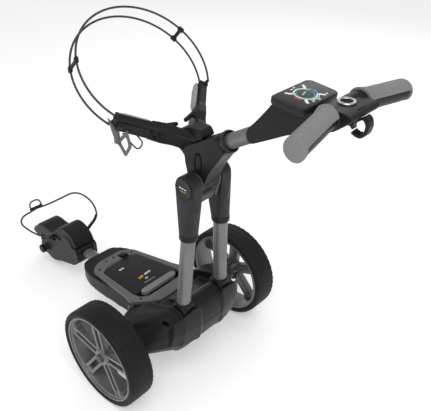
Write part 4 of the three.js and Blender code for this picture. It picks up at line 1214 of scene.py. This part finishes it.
@dataclass
class BagSupport:
    """The two arms with their pads, and the fittings of the upper strap."""

    low: Point = (-37.0, 69.0, 727.0)
    tip: Point = (18.0, 134.0, 756.0)

    def directions(self, side: int) -> Matrix:
        """The arm's own directions: along it, towards the bag, and across."""
        a, b = (Vector((p[0], side * p[1], p[2])) for p in (self.low, self.tip))
        along = (b - a).normalized()
        bag = Vector((0.545, -0.7 * side, 0.455))
        bag = (bag - along * bag.dot(along)).normalized()
        return Matrix((along, bag, along.cross(bag))).transposed()

    def on_arm(self, side: int, share: float, bag: float, across: float) -> Vector:
        """A place on an arm between its elbow and its tip."""
        a, b = (Vector((p[0], side * p[1], p[2])) for p in (self.low, self.tip))
        return a.lerp(b, share) + self.directions(side) @ Vector((0, bag, across))

    def build(self) -> None:
        """Makes the arms, pads and fittings."""
        arms = Mould.of_node("bag_support")
        neck = [(-36, 704), (-44, 687), (-72, 673), (-93, 655), (-104, 668), (-110, 700), (-70, 718)]
        arms.prism(neck, Axis.Y, -25, 25, edge=5)
        for side in (1, -1):
            arms.hull(*[[self.on_arm(side, share, bag * depth, across * height) for bag in (-1, 1)
                         for across in (-1, 1)] for share, depth,
                        height in ((-0.75, 13, 19), (-0.2, 12, 25),
                                                                             (0.12, 11, 23))])
            arms.hull(*[[self.on_arm(side, share, bag * 9.5 - 1, across * height) for bag in (-1, 1)
                         for across in (-1, 1)] for share, height in ((0.0, 22), (0.5, 20.5), (1.0, 20))])
            arms.rod((-39, side * 66, 737), (-52, side * 12, 730), 5.5, segments=20)
            arms.hull(ring((-52, side * 47, 731), 8, axis=Axis.Z),
                      ring((-51, side * 52, 742), 5.5, axis=Axis.Z))
        arms.soften(1.6, 8).piece("bag_support_arms", "upper_frame", BLACK, ("bag_support",))
        for name, side in (("left", 1), ("right", -1)):
            self._pad(name, side)
            self._arm_trim(name, side)
        self._plugs()
        self._strap_fittings()

    def _pad(self, name: str, side: int) -> None:
        """The crowned rubber pad on an arm's inner face."""
        mould = Mould()
        turn = self.directions(side)
        span = (Vector(self.tip) - Vector(self.low)).length - 3
        middle = self.on_arm(side, 0.52, 13.8, -2 * side)
        plan = [(-0.5, -6), (-0.34, -12), (0.3, -12.5), (0.5, -7), (0.5, 7), (0.3, 12), (-0.34, 11),
                (-0.5, 5)]
        mould.hull(*[[middle + turn @ Vector((a * span, face, b)) for a, b in plan] for face in (-3.2,
                                                                                                 3.2)])
        mould.soften(1.2, 7)
        mould.piece(f"{name}_pad_skin", "upper_frame", PAD, (f"{name}_pad",))

    def _arm_trim(self, name: str, side: int) -> None:
        """Ribs, screws and the end plate of an arm."""
        turn = self.directions(side)
        trim = Mould()
        trim.box(self.on_arm(side, 0.5, -10.6, 0), (74, 2.4, 22), turn, edge=1)
        trim.box(self.on_arm(side, 0.98, -1, 0), (10, 23, 43), turn, edge=3)
        # The same plate on both arms, painted lighter on the left (DARK) and darker on the right (BLACK): painted light
        # and painted shade on one material.
        trim.piece(f"{name}_arm_plate", "upper_frame", DARK if side > 0 else BLACK)
        # Near-black heads: painted shade of the screws' pockets.
        screws = Mould()
        for share, across in ((-0.03, 7), (-0.12, -7), (0.08, -9)):
            face = self.on_arm(side, share, -11.2, across)
            out = turn @ Vector((0, -1.8, 0))
            screws.rod(tuple(face), tuple(face + out), 3.4, segments=24, edge=0.5)
        screws.piece(f"{name}_arm_screws", "upper_frame", BLACK_AND_PAINTED_SHADE)

    def _plugs(self) -> None:
        """The plugs that hold the two strands' ends in the arms."""
        straps = Straps()
        for name, side in (("left", 1), ("right", -1)):
            plugs = Mould()
            for shift in (-straps.offset, straps.offset):
                stop = Vector(straps.strand_place(math.radians(side * straps.reach), shift))
                arm = self.on_arm(side, 0.97, -2, 9 if shift > 0 else -9)
                plugs.tube([stop, stop.lerp(arm, 0.5), arm], 3.6, 16, 4.4)
            plugs.piece(f"strap_plugs_{name}", "upper_frame", BLACK)

    def _strap_fittings(self) -> None:
        """The hook plate with its diamond ring, and the wire loop beside it."""
        Mould.of_node("strap_hook").round_edges(0.8).piece("strap_hook_ring", "upper_frame", SURROUND,
                                                           ("strap_hook",))
        wire = Mould()
        route = [(-8, 132, 742), (-30, 128, 746), (-52, 126, 736), (-60, 125, 728), (-56, 125, 716),
                 (-44, 126, 707),
                 (-32, 128, 712), (-18, 131, 724), (-6, 133, 734)]
        wire.tube(smooth_path(route, 6), 1.7, 12)
        wire.piece("strap_wire_loop", "upper_frame", BLACK)


# ---------------------------------------------------------------- handle


@dataclass
class Handle:
    """The stem, the T bar with its grips, the speed dial and the accessory hook."""

    inner: Point = (-463.0, 49.0, 882.0)
    end: Point = (-485.0, 175.0, 873.5)
    radius: float = 22.0
    dial: Point = (-467.0, 0.0, 897.0)

    def build(self) -> None:
        """Makes the handle."""
        Mould.of_node("handle_stem").soften(1.7, 9).piece("handle_stem_shell", "upper_frame", BLACK,
                                                          ("handle_stem",))
        self._bar()
        for name, side in (("left", 1), ("right", -1)):
            self._grip(name, side)
        self._dial()
        mouth = Mould()
        mouth.box((-481, 0, 850), (15, 30, 11), Matrix.Rotation(math.radians(40), 3, "Y"))
        Mould.of_node("accessory_hook").soften(0.9, 7, mouth).piece("accessory_hook_loop", "upper_frame",
                                                                    BLACK,
                                                                    ("accessory_hook",))

    def on_grip(self, side: int, share: float, down: float = 0.0) -> Point:
        """A place along a grip's centre line."""
        x, y, z = (a + share * (b - a) for a, b in zip(self.inner, self.end))
        return (x, side * y, z - down)

    def _bar(self) -> None:
        """The black core of the T bar, bare under each grip."""
        mould = Mould.of_node("handle_bar")
        for side in (1, -1):
            mould.hull(ring(self.on_grip(side, -0.32, 4), 16), ring(self.on_grip(side, 0.02, 1), 21))
            mould.hull(ring(self.on_grip(side, 0.0, 0.6), 20.8), ring(self.on_grip(side, 0.94, 0.6), 20.2))
        dish = Mould()
        x, y, z = self.dial
        dish.rod((x, y, z - 4), (x, y, z + 20), 17.2, segments=48)
        mould.soften(1.5, 5, dish).piece("handle_bar_core", "upper_frame", BLACK, ("handle_bar",))

    def _grip(self, name: str, side: int) -> None:
        """A grip: a soft sleeve with a raised collar, cut away along its underside."""
        mould = Mould()
        mould.hull(ring(self.on_grip(side, 0.02), 25.4, count=64),
                   ring(self.on_grip(side, 0.07), 24.4, count=64),
                   ring(self.on_grip(side, 0.2), self.radius, count=64))
        mould.hull(ring(self.on_grip(side, 0.12), self.radius, count=64),
                   ring(self.on_grip(side, 1.0), self.radius - 1.6, count=64),
                   ring(self.on_grip(side, 0.98), self.radius, count=64))
        start, stop = Vector(self.on_grip(side, -0.3)), Vector(self.on_grip(side,
                                                                            0.9 if side > 0 else 0.97))
        along = (stop - start).normalized()
        down = Vector((-0.42, 0, -0.9)).normalized()
        across = along.cross(down).normalized()
        turn = Matrix((along, across, along.cross(across))).transposed()
        under = Mould()
        under.box((start + stop) / 2 + down * 33, ((stop - start).length, 90, 58), turn, edge=3)
        mould.soften(1.3, 4, under).piece(f"{name}_grip_sleeve", "upper_frame", GRIP_RUBBER,
                                          (f"{name}_grip",))

    def _dial(self) -> None:
        """The bright dial ring with the dark power button in it."""
        x, y, z = self.dial
        dial = Mould()
        dial.lathe([(11, -3.7), (16.4, -3.7), (17.4, -1), (17.4, 0.6), (16.2, 2.2), (14, 2.6), (12, 2),
                    (11, 0.8)],
                   (x, y, z), Axis.Z, 72)
        dial.piece("speed_dial_ring", "dial", CHROME, ("speed_dial",))
        button = Mould()
        button.lathe([(0, -1.7), (10.5, -1.7), (10.5, 0.6), (9.4, 1.6), (6, 1.1), (0, 0.9)], (x, y, z),
                     Axis.Z, 48)
        button.piece("power_button_cap", "power", BLACK_AND_PAINTED_SHADE, ("power_button",))
        # A thin near-black bar: painted shade standing for the slot in the handle.
        slot = Mould()
        slot.box((-497, 0, 893.5), (2.0, 22, 1.6), edge=0.5)
        slot.piece("handle_slot_shade", "upper_frame", BLACK_AND_PAINTED_SHADE)


@dataclass
class Display:
    """The display box with its printed dial."""

    centre: Point = (-381.0, 0.0, 887.0)
    tilt: float = 6.2
    length: float = 74.0
    width: float = 124.0
    thickness: float = 13.0
    corner: float = 14.0

    def _place(self) -> Matrix:
        """From the display's own frame, its face at height 0, to its place."""
        return Matrix.Translation(self.centre) @ Matrix.Rotation(-math.radians(self.tilt), 4, "Y")

    def _plate(self, mould: Mould, inset: float, low: float, high: float, edge: float) -> list:
        """A rounded rectangle of the display's shape."""
        a, b = self.length / 2 - inset, self.width / 2 - inset
        return mould.prism([(-a, -b), (a, -b), (a, b), (-a, b)], Axis.Z, low, high, self.corner - inset,
                           edge)

    def build(self) -> None:
        """Makes the case, the face and its print."""
        case = Mould()
        self._plate(case, 0, -self.thickness, 0, 2.6)
        case.move(case.bm.verts, self._place())
        case.piece("display_shell", "upper_frame", DISPLAY_GREY, ("display_case",))
        face = Mould()
        self._plate(face, 3.4, -1.0, 0.15, 0.1)
        face.move(face.bm.verts, self._place())
        face.piece("display_face", "upper_frame", SCREEN, ("display_glass",))
        self._print()

    def _arc(self, mould: Mould, radius: float, width: float, start: float, stop: float) -> None:
        """A flat band of a circle, between two angles in degrees."""
        steps = max(6, int((stop - start) / 6))
        turns = [math.radians(start + (stop - start) * i / steps) for i in range(steps + 1)]
        outer = [(radius * math.cos(t), radius * math.sin(t)) for t in turns]
        inner = [((radius - width) * math.cos(t), (radius - width) * math.sin(t)) for t in reversed(turns)]
        mould.prism(outer + inner, Axis.Z, 0.1, 0.4)

    def _print(self) -> None:
        """The printed dial: a green and white ring, red and blue parts, four brackets and key marks."""
        prints = {"green": (Mould(), GREEN_MARK), "white": (Mould(), WHITE_MARK),
                  "red": (Mould(), RED_MARK),
                  "blue": (Mould(), BLUE_MARK)}
        self._arc(prints["green"][0], 19.0, 2.6, 0, 359)
        self._arc(prints["white"][0], 22.6, 2.6, 0, 225)
        self._arc(prints["white"][0], 26.0, 1.6, 150, 290)
        self._arc(prints["white"][0], 22.6, 2.6, 290, 359)
        self._arc(prints["red"][0], 29.0, 5.0, 78, 110)
        self._arc(prints["blue"][0], 28.0, 5.0, 240, 284)
        white = prints["white"][0]
        for a, b in ((1, 1), (1, -1), (-1, 1), (-1, -1)):
            outline = [(a * 12, b * 18), (a * 16, b * 15), (a * 20, b * 20), (a * 27, b * 25),
                       (a * 26, b * 30),
                       (a * 16.4, b * 25)]
            white.prism(outline, Axis.Z, 0.1, 0.4)
        for x, y in ((-27, 12), (-29, -4), (-24, -34), (27, 6), (29, -4)):
            white.box((x, y, 0.25), (3.0, 5.4, 0.3))
        for i in range(3):
            white.box((1 + 2 * i, 6 - 6 * i, 0.25), (2.0, 4.6, 0.3))
        for name, (mould, finish) in prints.items():
            mould.move(mould.bm.verts, self._place())
            mould.piece(f"display_{name}_print", "upper_frame", finish)


# ---------------------------------------------------------------- the whole trolley


def main() -> None:
    """Builds the scene in order."""
    logging.basicConfig(level=logging.INFO, format="%(name)s %(message)s")
    Studio().build()
    Straps().build()
    for part in (RearWheel("left", 1), RearWheel("right", -1), DriveHousing(), BatteryBay(), FrontEnd(),
                 StrutFrame(), HingeBlock(), BagSupport(), Handle(), Display()):
        log.info("building %s", type(part).__name__)
        part.build()


if __name__ == "__main__":
    main()
